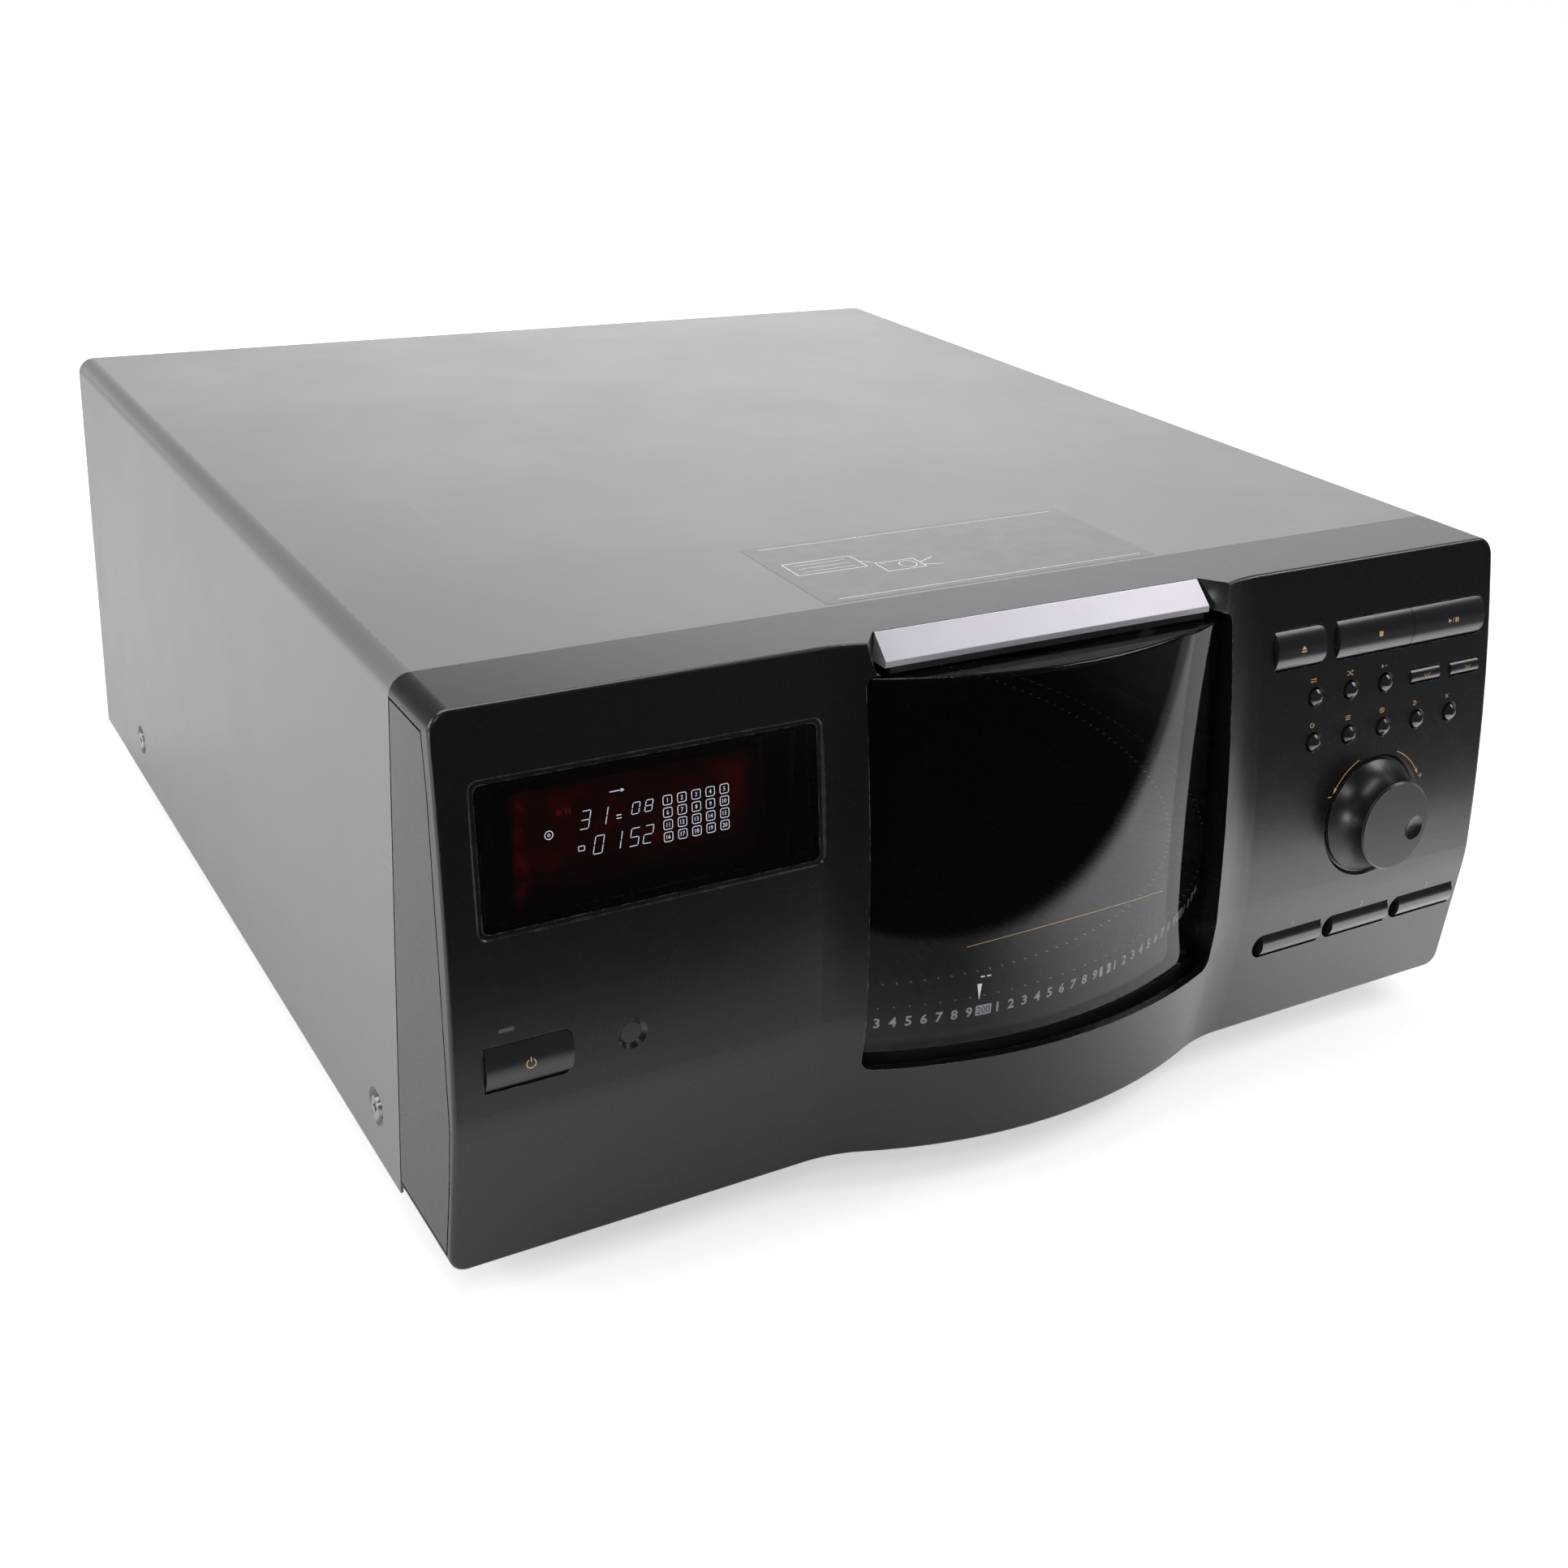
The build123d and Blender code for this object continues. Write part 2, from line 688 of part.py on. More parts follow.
with BuildPart() as dial_board:
    add(board(dial_mount, 48, 44))
    with BuildSketch(dial_mount):
        Rectangle(13, 13)
    extrude(amount=7.0)
    with BuildSketch(dial_mount.offset(8)):
        Circle(dial_shaft + 0.05)
    extrude(amount=-6, mode=Mode.SUBTRACT)
save(dial_board, "dial_board")

with BuildPart() as bar_board:
    add(board(bar_mount, 106, 24))
    for cap in bar_caps:
        add(switch_on(cap_face(cap), bar_mount))
save(bar_board, "bar_board")

# ---------------------------------------------------------------- display and lenses
with BuildPart() as display_window:
    with BuildSketch(display_face.offset(-ring_front)):
        RectangleRounded(display_inner[0] - 2 * seat_gap, display_inner[1] - 2 * seat_gap, 2.1)
    extrude(amount=display_plate)
save(display_window, "display_window")

tube_centre = (-152.0 + 154.5, 20.0)
with BuildPart() as display_tube:
    with BuildSketch(display_mount):
        with Locations(tube_centre):
            Rectangle(tube_width, tube_tall)
    extrude(amount=tube_thick)
    # evacuation tip at the left end
    with BuildSketch(display_mount.offset(tube_thick / 2)):
        with Locations((tube_centre[0] - tube_width / 2 - 1, tube_centre[1] + 12)):
            Circle(1.6)
    extrude(amount=1.6, both=True)
save(display_tube, "display_tube")

lens_plane = face_plane(lens_x, base_z + lens_height)
with BuildPart() as standby_lens:
    with BuildSketch(lens_plane.offset(-3.2)):
        Rectangle(5.0, 1.2)
    extrude(amount=3.4)
    with BuildSketch(lens_plane.offset(-4.2)):
        Rectangle(7.0, 3.0)
    extrude(amount=1.1)
save(standby_lens, "standby_lens")

with BuildPart() as sensor_lens:
    with BuildSketch(sensor_plane.offset(-3.2)):
        Circle(sensor_radius)
    extrude(amount=2.0)
    with BuildSketch(sensor_plane.offset(-4.2)):
        Circle(sensor_radius + 1.5)
    extrude(amount=1.1)
save(sensor_lens, "sensor_lens")

# ---------------------------------------------------------------- bar over the window
with BuildPart() as trim_bar:
    with BuildSketch(Plane.YZ.offset(window_x - bar_half)):
        Polygon(
            (bar_back, top_z - 0.2),
            (bar_front, bar_low + bar_lip),
            (bar_front, bar_low),
            (bar_back, bar_low),
            align=None,
        )
    extrude(amount=2 * bar_half)
    fillet(trim_bar.edges().filter_by(Axis.X).sort_by(Axis.Y)[:2], 0.5)
    with BuildSketch(Plane.XZ.offset(-bar_back)):
        with Locations(*peg_places):
            Circle(peg_radius)
    extrude(amount=-2.6)
save(trim_bar, "trim_bar")

with BuildPart() as felt_strip:
    felt_y = bar_front + felt_depth / 2
    with Locations((window_x, felt_y, bar_low - felt_thickness / 2)):
        Box(2 * bar_half - 4, felt_depth, felt_thickness)
save(felt_strip, "felt_strip")

# ---------------------------------------------------------------- cover, pan and rear
pan_half = half_width - cover_sheet - 1.6
side_screw_z = base_z + side_screw_rise
rear_screw_z = top_z - rear_screw_drop
rear_screws = tuple((x, rear_screw_z) for x in rear_screw_x)


def cover_outline(half, low, high, corner):
    """Cover's cross-section: square below, rounded above."""
    with BuildSketch(mode=Mode.PRIVATE) as outline:
        with Locations((0, (low + high) / 2)):
            Rectangle(2 * half, high - low)
        fillet(outline.vertices().group_by(Axis.Y)[-1], corner)
    return outline.sketch


with BuildPart() as top_cover:
    with BuildSketch(Plane.XZ.offset(-seam_y)):
        add(cover_outline(half_width, base_z, top_z, cover_round))
        inside = (half_width - cover_sheet, base_z - 1, top_z - cover_sheet, cover_round - cover_sheet)
        add(cover_outline(*inside), mode=Mode.SUBTRACT)
    extrude(amount=-cover_depth)
    # lip that closes the rear edge
    with Locations((0, rear_y - cover_sheet / 2, top_z - cover_sheet / 2 - 5.5)):
        Box(body_width - 2 * cover_round - 2, cover_sheet, 11)
    # pressed dimples for the side screws
    for side in (-1, 1):
        for place in side_screw_places:
            spot = Plane(
                origin=(side * half_width, seam_y + place, side_screw_z), x_dir=(0, 1, 0), z_dir=(side, 0, 0)
            )
            with BuildSketch(spot.offset(-cover_sheet - dimple_sink)):
                Circle(6.0)
            extrude(amount=dimple_sink + cover_sheet / 2, taper=-20)
            with BuildSketch(spot.offset(-dimple_sink)):
                Circle(5.6)
            extrude(amount=dimple_sink + 1, taper=-40, mode=Mode.SUBTRACT)
            with BuildSketch(spot):
                Circle(screw_radius + seat_gap)
            extrude(amount=-5, mode=Mode.SUBTRACT)
    with BuildSketch(Plane.XZ.offset(-rear_y - 1)):
        with Locations(*rear_screws):
            Circle(screw_radius + seat_gap)
    extrude(amount=3, mode=Mode.SUBTRACT)
save(top_cover, "top_cover")

foot_places = tuple((x, seam_y + y) for x in (-foot_spread, foot_spread) for y in foot_rows)
post_places = tuple(
    (axis_x + post_track * cos(radians(a)), axis_y + post_track * sin(radians(a))) for a in range(0, 360, 60)
)
main_board_box = (-205.0, -20.0, seam_y + 345.0, seam_y + 412.0)
main_board_z = base_z + board_rise
transformer_at = (150.0, seam_y + 365.0)
pan_floor = base_z + cover_sheet
with BuildPart() as base_pan:
    with Locations((0, seam_y + 2 + (cover_depth - 4) / 2, base_z + cover_sheet / 2)):
        Box(2 * pan_half, cover_depth - 4, cover_sheet)
    # side, front and rear flanges
    for side in (-1, 1):
        flange_x = side * (pan_half - cover_sheet / 2)
        with Locations((flange_x, (seam_y + 9 + rear_y - 2) / 2, base_z + 22)):
            Box(cover_sheet, cover_depth - 11, 44)
        for place in side_screw_places:
            with BuildSketch(Plane.YZ.offset(side * (pan_half + 1))):
                with Locations((seam_y + place, side_screw_z)):
                    Circle(screw_radius + seat_gap)
            extrude(amount=-3 * side, mode=Mode.SUBTRACT)
    with Locations((0, rear_y - 2.5, base_z + 8)):
        Box(2 * pan_half - 2, cover_sheet, 16)
    with Locations((0, seam_y + 9.5, base_z + 2)):
        Box(2 * pan_half - 2, cover_sheet, 4)
    # standoffs of the main board
    with BuildSketch(Plane.XY.offset(pan_floor)):
        for x in (main_board_box[0] + 8, main_board_box[1] - 8):
            for y in (main_board_box[2] + 8, main_board_box[3] - 8):
                with Locations((x, y)):
                    Circle(3)
    extrude(amount=main_board_z - pan_floor)
save(base_pan, "base_pan")

with BuildPart() as feet:
    with BuildSketch(Plane.XY):
        with Locations(*foot_places):
            Circle(foot_radius)
    extrude(amount=foot_height)
    chamfer(feet.edges().group_by(Axis.Z)[0], 1.5)
save(feet, "feet")


def screw(spot):
    """Screw with a cross recess, its head standing on a plane."""
    with BuildPart() as made:
        with BuildSketch(spot):
            Circle(screw_head)
        extrude(amount=screw_head_height, taper=20)
        with BuildSketch(spot):
            Circle(screw_radius)
        extrude(amount=-screw_length)
        with BuildSketch(spot.offset(screw_head_height)):
            Rectangle(recess_length, recess_width)
            Rectangle(recess_width, recess_length)
        extrude(amount=-recess_width, mode=Mode.SUBTRACT)
    return made.part


with BuildPart() as cover_screws:
    for side in (-1, 1):
        for place in side_screw_places:
            spot = Plane(
                origin=(side * (half_width - dimple_sink), seam_y + place, side_screw_z),
                x_dir=(0, 1, 0),
                z_dir=(side, 0, 0),
            )
            add(screw(spot))
    for x in rear_screw_x:
        spot = Plane(origin=(x, rear_y, rear_screw_z), x_dir=(-1, 0, 0), z_dir=(0, 1, 0))
        add(screw(spot))
save(cover_screws, "cover_screws")

# rear panel with the holes of the jacks and of the cord
rear_low = pan_floor + 0.2
rear_high = top_z - cover_sheet - 0.3
rear_face = rear_y - cover_sheet
with BuildPart() as rear_panel:
    with BuildSketch(Plane.XZ.offset(-rear_face)):
        add(cover_outline(half_width - 3.0, rear_low, rear_high, 4.0))
        with Locations(*jack_places):
            Circle(jack_radius + seat_gap, mode=Mode.SUBTRACT)
        with Locations(gland_place):
            Circle(gland_radius + seat_gap, mode=Mode.SUBTRACT)
        with Locations(*rear_screws):
            Circle(screw_radius + seat_gap, mode=Mode.SUBTRACT)
    extrude(amount=cover_sheet)
save(rear_panel, "rear_panel")

with BuildPart() as audio_jacks:
    inner_face = Plane.XZ.offset(-rear_face + cover_sheet)
    with BuildSketch(inner_face):
        with Locations((-135.0, 53.0)):
            Rectangle(48, 36)
    extrude(amount=12)
    with BuildSketch(inner_face):
        with Locations(*jack_places):
            Circle(jack_radius)
    extrude(amount=-(jack_reach + 2 * cover_sheet))
    with BuildSketch(Plane.XZ.offset(-rear_y - jack_reach)):
        with Locations(*jack_places):
            Circle(1.6)
    extrude(amount=9, mode=Mode.SUBTRACT)
save(audio_jacks, "audio_jacks")

with BuildPart() as cord_gland:
    with BuildSketch(Plane.XZ.offset(-rear_face)):
        with Locations(gland_place):
            Circle(gland_radius + 3)
    extrude(amount=-3.5)
    with BuildSketch(Plane.XZ.offset(-rear_face)):
        with Locations(gland_place):
            Circle(gland_radius)
    extrude(amount=6)
    with BuildSketch(Plane.XZ.offset(-rear_face - 4)):
        with Locations(gland_place):
            Circle(3.2)
    extrude(amount=11, mode=Mode.SUBTRACT)
save(cord_gland, "cord_gland")

with BuildPart() as transformer:
    with BuildSketch(Plane.XY.offset(pan_floor)):
        with Locations(transformer_at):
            Rectangle(84, 46)
    extrude(amount=2)
    with Locations((transformer_at[0], transformer_at[1], pan_floor + 2 + 27)):
        Box(68, 30, 54)
        Box(46, 52, 34)
save(transformer, "transformer")

with BuildPart() as main_board:
    board_x = (main_board_box[0] + main_board_box[1]) / 2
    board_y = (main_board_box[2] + main_board_box[3]) / 2
    with BuildSketch(Plane.XY.offset(main_board_z)):
        with Locations((board_x, board_y)):
            Rectangle(main_board_box[1] - main_board_box[0], main_board_box[3] - main_board_box[2])
    extrude(amount=board_sheet)
    component_z = main_board_z + board_sheet
    with BuildSketch(Plane.XY.offset(component_z)):
        with Locations(*[(board_x + 10 + 16 * step, board_y - 20) for step in range(4)]):
            Circle(5)
    extrude(amount=6.5)
    with BuildSketch(Plane.XY.offset(component_z)):
        with Locations((board_x - 40, board_y - 14), (board_x + 30, board_y + 4)):
            Rectangle(26, 14)
    extrude(amount=3.5)
save(main_board, "main_board")


# ---------------------------------------------------------------- gears and rings
def ring_points(radius, angles):
    """Points of a circle about the origin at angles in degrees from +X."""
    return [(radius * cos(radians(a)), radius * sin(radians(a))) for a in angles]


def gear_outline(teeth, phase):
    """Outline of a spur gear about the origin, one tooth centred on the phase."""
    pitch = 360.0 / teeth
    pitch_radius = gear_module * teeth / 2
    points = []
    for tooth in range(teeth):
        middle = phase + tooth * pitch
        root, tip = 0.70 * tooth_share * pitch, 0.30 * tooth_share * pitch
        points += ring_points(pitch_radius - 1.25 * gear_module, (middle - root,))
        points += ring_points(pitch_radius + gear_module, (middle - tip, middle + tip))
        points += ring_points(pitch_radius - 1.25 * gear_module, (middle + root,))
    with BuildSketch(mode=Mode.PRIVATE) as outline:
        Polygon(*points, align=None)
    return outline.sketch


def sector(inner, outer, start, end):
    """Ring sector about the origin, angles in degrees from the front towards +X."""
    first, last = start - 90.0, end - 90.0
    middle = (first + last) / 2
    inner_points = ring_points(inner, (first, middle, last))
    outer_points = ring_points(outer, (first, middle, last))
    with BuildSketch(mode=Mode.PRIVATE) as outline:
        with BuildLine():
            ThreePointArc(*outer_points)
            Line(outer_points[2], inner_points[2])
            ThreePointArc(*reversed(inner_points))
            Line(inner_points[0], outer_points[0])
        make_face()
    return outline.sketch


def axis_plane(height):
    """Horizontal plane centred on the carousel's axis."""
    return Plane(origin=(axis_x, axis_y, height), x_dir=(1, 0, 0), z_dir=(0, 0, 1))


# ---------------------------------------------------------------- deck
deck_low = base_z + deck_height
deck_high = deck_low + deck_sheet
gear_low = deck_high + 5.5
plate_low = base_z + plate_height
plate_high = plate_low + plate_thick
ring_pitch = gear_module * ring_teeth / 2
pinion_pitch = gear_module * pinion_teeth / 2
rack_pitch = gear_module * rack_teeth / 2
carousel_gear_reach = ring_pitch + pinion_pitch + gear_slack
door_gear_reach = rack_pitch - pinion_pitch - gear_slack
carousel_gear_at = ring_points(carousel_gear_reach, (carousel_gear_angle,))[0]
door_gear_at = ring_points(door_gear_reach, (door_gear_angle - 90.0,))[0]
mesh_width = plate_low - gear_low - 2 * part_gap
roller_z = plate_low - part_gap - roller_radius
rail_inner = rack_pitch + 1.25 * gear_module
rail_outer = rail_inner + rail_wall + 1.8
tongue_inner = rail_inner + 2.4
tongue_outer = tongue_inner + 2.2
fork_gap = 0.4
fork_wall = 2.5

with BuildPart() as deck:
    with BuildSketch(axis_plane(deck_low)):
        Circle(deck_radius)
        # windows for the rollers and holes for the motor shafts
        for angle in roller_angles:
            with Locations(Rot(0, 0, angle) * Pos(roller_track, 0)):
                Rectangle(roller_width + 2, 2 * roller_radius + 3, mode=Mode.SUBTRACT)
        with Locations(carousel_gear_at, door_gear_at):
            Circle(motor_shaft + 1.0, mode=Mode.SUBTRACT)
        # weight-saving holes around the middle
        with PolarLocations(40, 6, start_angle=75):
            Circle(6, mode=Mode.SUBTRACT)
    extrude(amount=deck_sheet)
    # collar that centres the carousel
    with BuildSketch(axis_plane(deck_high)):
        Circle(hub_radius - part_gap)
        Circle(hub_radius - part_gap - 3.5, mode=Mode.SUBTRACT)
    extrude(amount=plate_high - deck_high - 0.5)
    # groove that guides the door's rail
    with BuildSketch(axis_plane(deck_high)):
        Circle(deck_radius)
        Circle(tongue_outer + part_gap, mode=Mode.SUBTRACT)
        Circle(tongue_inner - part_gap)
        Circle(tongue_inner - part_gap - groove_rib, mode=Mode.SUBTRACT)
    extrude(amount=4.0)
    # forks with pins for the rollers
    for angle in roller_angles:
        for side in (-1, 1):
            reach = roller_track + side * (roller_width / 2 + fork_gap + fork_wall / 2)
            spot = Rot(0, 0, angle) * Pos(reach, 0)
            with BuildSketch(axis_plane(deck_high - 1)):
                with Locations(spot):
                    Rectangle(fork_wall, 8)
            extrude(amount=roller_z + 2.6 - deck_high + 1)
        turn = radians(angle)
        pin_start = roller_track - 6
        pin_plane = Plane(
            origin=(axis_x + pin_start * cos(turn), axis_y + pin_start * sin(turn), roller_z),
            x_dir=(0, 0, 1),
            z_dir=(cos(turn), sin(turn), 0),
        )
        with BuildSketch(pin_plane):
            Circle(roller_pin)
        extrude(amount=12)
    # legs down to the pan
    with BuildSketch(Plane.XY.offset(pan_floor)):
        with Locations(*post_places):
            Circle(4)
    extrude(amount=deck_low - pan_floor)
save(deck, "deck")

for number, angle in enumerate(roller_angles):
    turn = radians(angle)
    with BuildPart() as support_roller:
        near = roller_track - roller_width / 2
        roller_plane = Plane(
            origin=(axis_x + near * cos(turn), axis_y + near * sin(turn), roller_z),
            x_dir=(0, 0, 1),
            z_dir=(cos(turn), sin(turn), 0),
        )
        with BuildSketch(roller_plane):
            Circle(roller_radius)
            Circle(roller_pin + 0.05, mode=Mode.SUBTRACT)
        extrude(amount=roller_width)
        chamfer(support_roller.edges().filter_by(GeomType.CIRCLE).sort_by(SortBy.RADIUS)[-2:], 0.5)
    save(support_roller, f"support_roller_{number + 1}")

# ---------------------------------------------------------------- carousel
with BuildPart() as carousel:
    with BuildSketch(axis_plane(plate_low)):
        Circle(rim_radius)
        Circle(hub_radius, mode=Mode.SUBTRACT)
    extrude(amount=plate_thick)
    # numbered rim
    with BuildSketch(axis_plane(plate_low)):
        Circle(rim_radius)
        Circle(rim_radius - rim_wall, mode=Mode.SUBTRACT)
    extrude(amount=plate_thick + rim_height)
    # combs that hold the discs upright
    for inner, outer in (outer_comb, inner_comb):
        with BuildSketch(axis_plane(plate_high)):
            Circle(outer)
            Circle(inner, mode=Mode.SUBTRACT)
            with PolarLocations((inner + outer) / 2, slot_count):
                Rectangle(outer - inner + 4, slot_width, mode=Mode.SUBTRACT)
        extrude(amount=comb_height)
    # bearing and ring gear below the plate
    with BuildSketch(axis_plane(gear_low - 1)):
        Circle(hub_radius + hub_wall)
        Circle(hub_radius, mode=Mode.SUBTRACT)
    extrude(amount=plate_low - gear_low + 1)
    with BuildSketch(axis_plane(gear_low)):
        add(gear_outline(ring_teeth, carousel_gear_angle))
        Circle(hub_radius + hub_wall / 2, mode=Mode.SUBTRACT)
    extrude(amount=plate_low - gear_low)
save(carousel, "carousel")


def pinion(place, phase, width):
    """Small gear with a hub, bored for a motor's shaft."""
    plane = Plane(origin=(axis_x + place[0], axis_y + place[1], gear_low), x_dir=(1, 0, 0), z_dir=(0, 0, 1))
    with BuildPart() as wheel:
        with BuildSketch(plane):
            add(gear_outline(pinion_teeth, phase))
        extrude(amount=width)
        with BuildSketch(plane.offset(-3)):
            Circle(5)
        extrude(amount=3)
        with BuildSketch(plane.offset(-5)):
            Circle(motor_shaft + 0.05)
        extrude(amount=20, mode=Mode.SUBTRACT)
    return wheel


half_pitch = 180.0 / pinion_teeth
carousel_gear_phase = carousel_gear_angle + 180.0 + half_pitch
door_gear_phase = door_gear_angle - 90.0 + half_pitch
save(pinion(carousel_gear_at, carousel_gear_phase, mesh_width), "carousel_gear")
save(pinion(door_gear_at, door_gear_phase, mesh_width - door_gear_relief), "door_gear")


def deck_motor(place, width):
    """Motor under the deck, its shaft stands through the deck into a gear of that width."""
    plane = Plane(origin=(axis_x + place[0], axis_y + place[1], deck_low), x_dir=(1, 0, 0), z_dir=(0, 0, 1))
    with BuildPart() as motor:
        with BuildSketch(plane):
            Circle(motor_radius)
        extrude(amount=-motor_length)
        chamfer(motor.edges().group_by(Axis.Z)[0], 1.5)
        with BuildSketch(plane):
            Circle(motor_shaft)
        extrude(amount=gear_low + width - 0.2 - deck_low)
    return motor


save(deck_motor(carousel_gear_at, mesh_width), "carousel_motor")
save(deck_motor(door_gear_at, mesh_width - door_gear_relief), "door_motor")

# ---------------------------------------------------------------- door
shell_low = base_z + door_bottom
shell_high = base_z + door_top
door_turn = radians(door_left - 90.0)
door_section = Plane(
    origin=(axis_x, axis_y, 0),
    x_dir=(cos(door_turn), sin(door_turn), 0),
    z_dir=(sin(door_turn), -cos(door_turn), 0),
)
with BuildPart() as door_window:
    with BuildSketch(door_section):
        Polygon(
            (door_bottom_radius - door_wall, shell_low),
            (door_bottom_radius, shell_low),
            (door_top_radius, shell_high),
            (door_top_radius - door_flange, shell_high),
            (door_top_radius - door_flange, shell_high - door_wall),
            (door_top_radius - door_wall, shell_high - door_wall),
            align=None,
        )
    revolve(axis=Axis((axis_x, axis_y, 0), (0, 0, 1)), revolution_arc=door_right - door_left)
    right_foot = Vector(*polar(door_bottom_radius - door_wall / 2, door_right, shell_low))
    fillet(door_window.edges().sort_by(lambda e: (e.center() - right_foot).length)[0], door_corner)
    top_rim = door_window.edges().filter_by(GeomType.CIRCLE).group_by(Axis.Z)[-1]
    fillet(top_rim.sort_by(SortBy.RADIUS)[-1], 1.5)
save(door_window, "door_window")

rack_step = 360.0 / rack_teeth
with BuildPart() as door_carrier:
    with BuildSketch(axis_plane(gear_low)):
        add(sector(rail_inner, rail_outer, rail_left, door_right))
        for tooth in range(-3, 36):
            middle = door_gear_angle + tooth * rack_step - 90.0
            root, tip = 0.70 * tooth_share * rack_step, 0.30 * tooth_share * rack_step
            root_points = ring_points(rail_inner + 0.3, (middle - root, middle + root))
            tip_points = ring_points(rack_pitch - gear_module, (middle + tip, middle - tip))
            Polygon(*root_points, *tip_points, align=None)
    extrude(amount=mesh_width)
    with BuildSketch(axis_plane(gear_low)):
        add(sector(rail_inner, rail_outer, rail_left, door_right))
    extrude(amount=shell_low - gear_low)
    # tongue that runs in the deck's groove
    with BuildSketch(axis_plane(deck_high + 0.3)):
        add(sector(tongue_inner, tongue_outer, rail_left, door_right))
    extrude(amount=gear_low - deck_high - 0.3)
save(door_carrier, "door_carrier")

# ---------------------------------------------------------------- player in the middle
spindle_z = plate_high + 0.5 + disc_radius
frame_x = axis_x - frame_offset
frame_back = frame_x - frame_sheet
frame_top = spindle_z + disc_radius + 5.0
rail_x = frame_x + 5.0
rail_low = deck_high + 4.0
rail_high = spindle_z - turntable_radius + 1.0
sled_gear_at = (axis_y + 24.5, spindle_z - 33.0)
bridge_low = frame_top
pivot_x = axis_x + 14.0
pivot_z = frame_top - 7.0


def across_plane(x):
    """Plane across the machine: its X points to the rear, its Y up."""
    return Plane(origin=(x, axis_y, 0), x_dir=(0, 1, 0), z_dir=(1, 0, 0))


with BuildPart() as mechanism_frame:
    with BuildSketch(across_plane(frame_back)):
        with Locations((0, (deck_high + frame_top) / 2)):
            Rectangle(2 * frame_half, frame_top - deck_high)
        with Locations((0, spindle_z)):
            Circle(5, mode=Mode.SUBTRACT)
        with Locations((sled_gear_at[0] - axis_y, sled_gear_at[1])):
            Circle(3.5, mode=Mode.SUBTRACT)
    extrude(amount=frame_sheet)
    # foot flange, top flange and the tabs that hold the rails
    with Locations((frame_back - 4, axis_y, deck_high + 1)):
        Box(12, 2 * frame_half, 2)
    with Locations((frame_x + 14, axis_y, frame_top - 1)):
        Box(28 + frame_sheet, 24, 2)
    for height in (rail_low, rail_high):
        with Locations((frame_x + 4, axis_y, height)):
            Box(8, 25, 2)
    for side in (-1, 1):
        with BuildSketch(Plane.XY.offset(rail_low - 2)):
            with Locations((rail_x, axis_y + side * rail_spread / 2)):
                Circle(rail_radius + 0.02)
        extrude(amount=rail_high - rail_low + 4, mode=Mode.SUBTRACT)
    # ears that carry the clamper's pivot
    for side in (-1, 1):
        with Locations((pivot_x, axis_y + side * 10.5, frame_top - 5)):
            Box(8, 2, 10)
    with BuildSketch(Plane.XZ.offset(-axis_y - 12)):
        with Locations((pivot_x, pivot_z)):
            Circle(rail_radius + seat_gap)
    extrude(amount=24, mode=Mode.SUBTRACT)
save(mechanism_frame, "mechanism_frame")

with BuildPart() as sled_rails:
    with BuildSketch(Plane.XY.offset(rail_low - 1)):
        with Locations(*[(rail_x, axis_y + side * rail_spread / 2) for side in (-1, 1)]):
            Circle(rail_radius)
    extrude(amount=rail_high - rail_low + 2)
save(sled_rails, "sled_rails")

# spindle motor and sled motor behind the frame
with BuildPart() as player_motors:
    with BuildSketch(across_plane(frame_back)):
        with Locations((0, spindle_z)):
            Circle(12.5)
    extrude(amount=-15)
    with BuildSketch(across_plane(frame_back)):
        with Locations((sled_gear_at[0] - axis_y, sled_gear_at[1])):
            Circle(8)
    extrude(amount=-15)
    with BuildSketch(across_plane(frame_back)):
        with Locations((0, spindle_z)):
            Circle(motor_shaft)
    extrude(amount=frame_sheet + 12)
    with BuildSketch(across_plane(frame_back)):
        with Locations((sled_gear_at[0] - axis_y, sled_gear_at[1])):
            Circle(motor_shaft)
    extrude(amount=frame_sheet + 8)
save(player_motors, "player_motors")

with BuildPart() as turntable:
    with BuildSketch(across_plane(frame_x + 6)):
        with Locations((0, spindle_z)):
            Circle(8)
    extrude(amount=frame_offset - spindle_drop - 6)
    with BuildSketch(across_plane(axis_x - spindle_drop - 2.5)):
        with Locations((0, spindle_z)):
            Circle(turntable_radius)
    extrude(amount=2.5)
    with BuildSketch(across_plane(axis_x - spindle_drop)):
        with Locations((0, spindle_z)):
            Circle(7.2)
    extrude(amount=1.6, taper=15)
    with BuildSketch(across_plane(frame_x)):
        with Locations((0, spindle_z)):
            Circle(motor_shaft + 0.05)
    extrude(amount=12.2, mode=Mode.SUBTRACT)
save(turntable, "turntable")

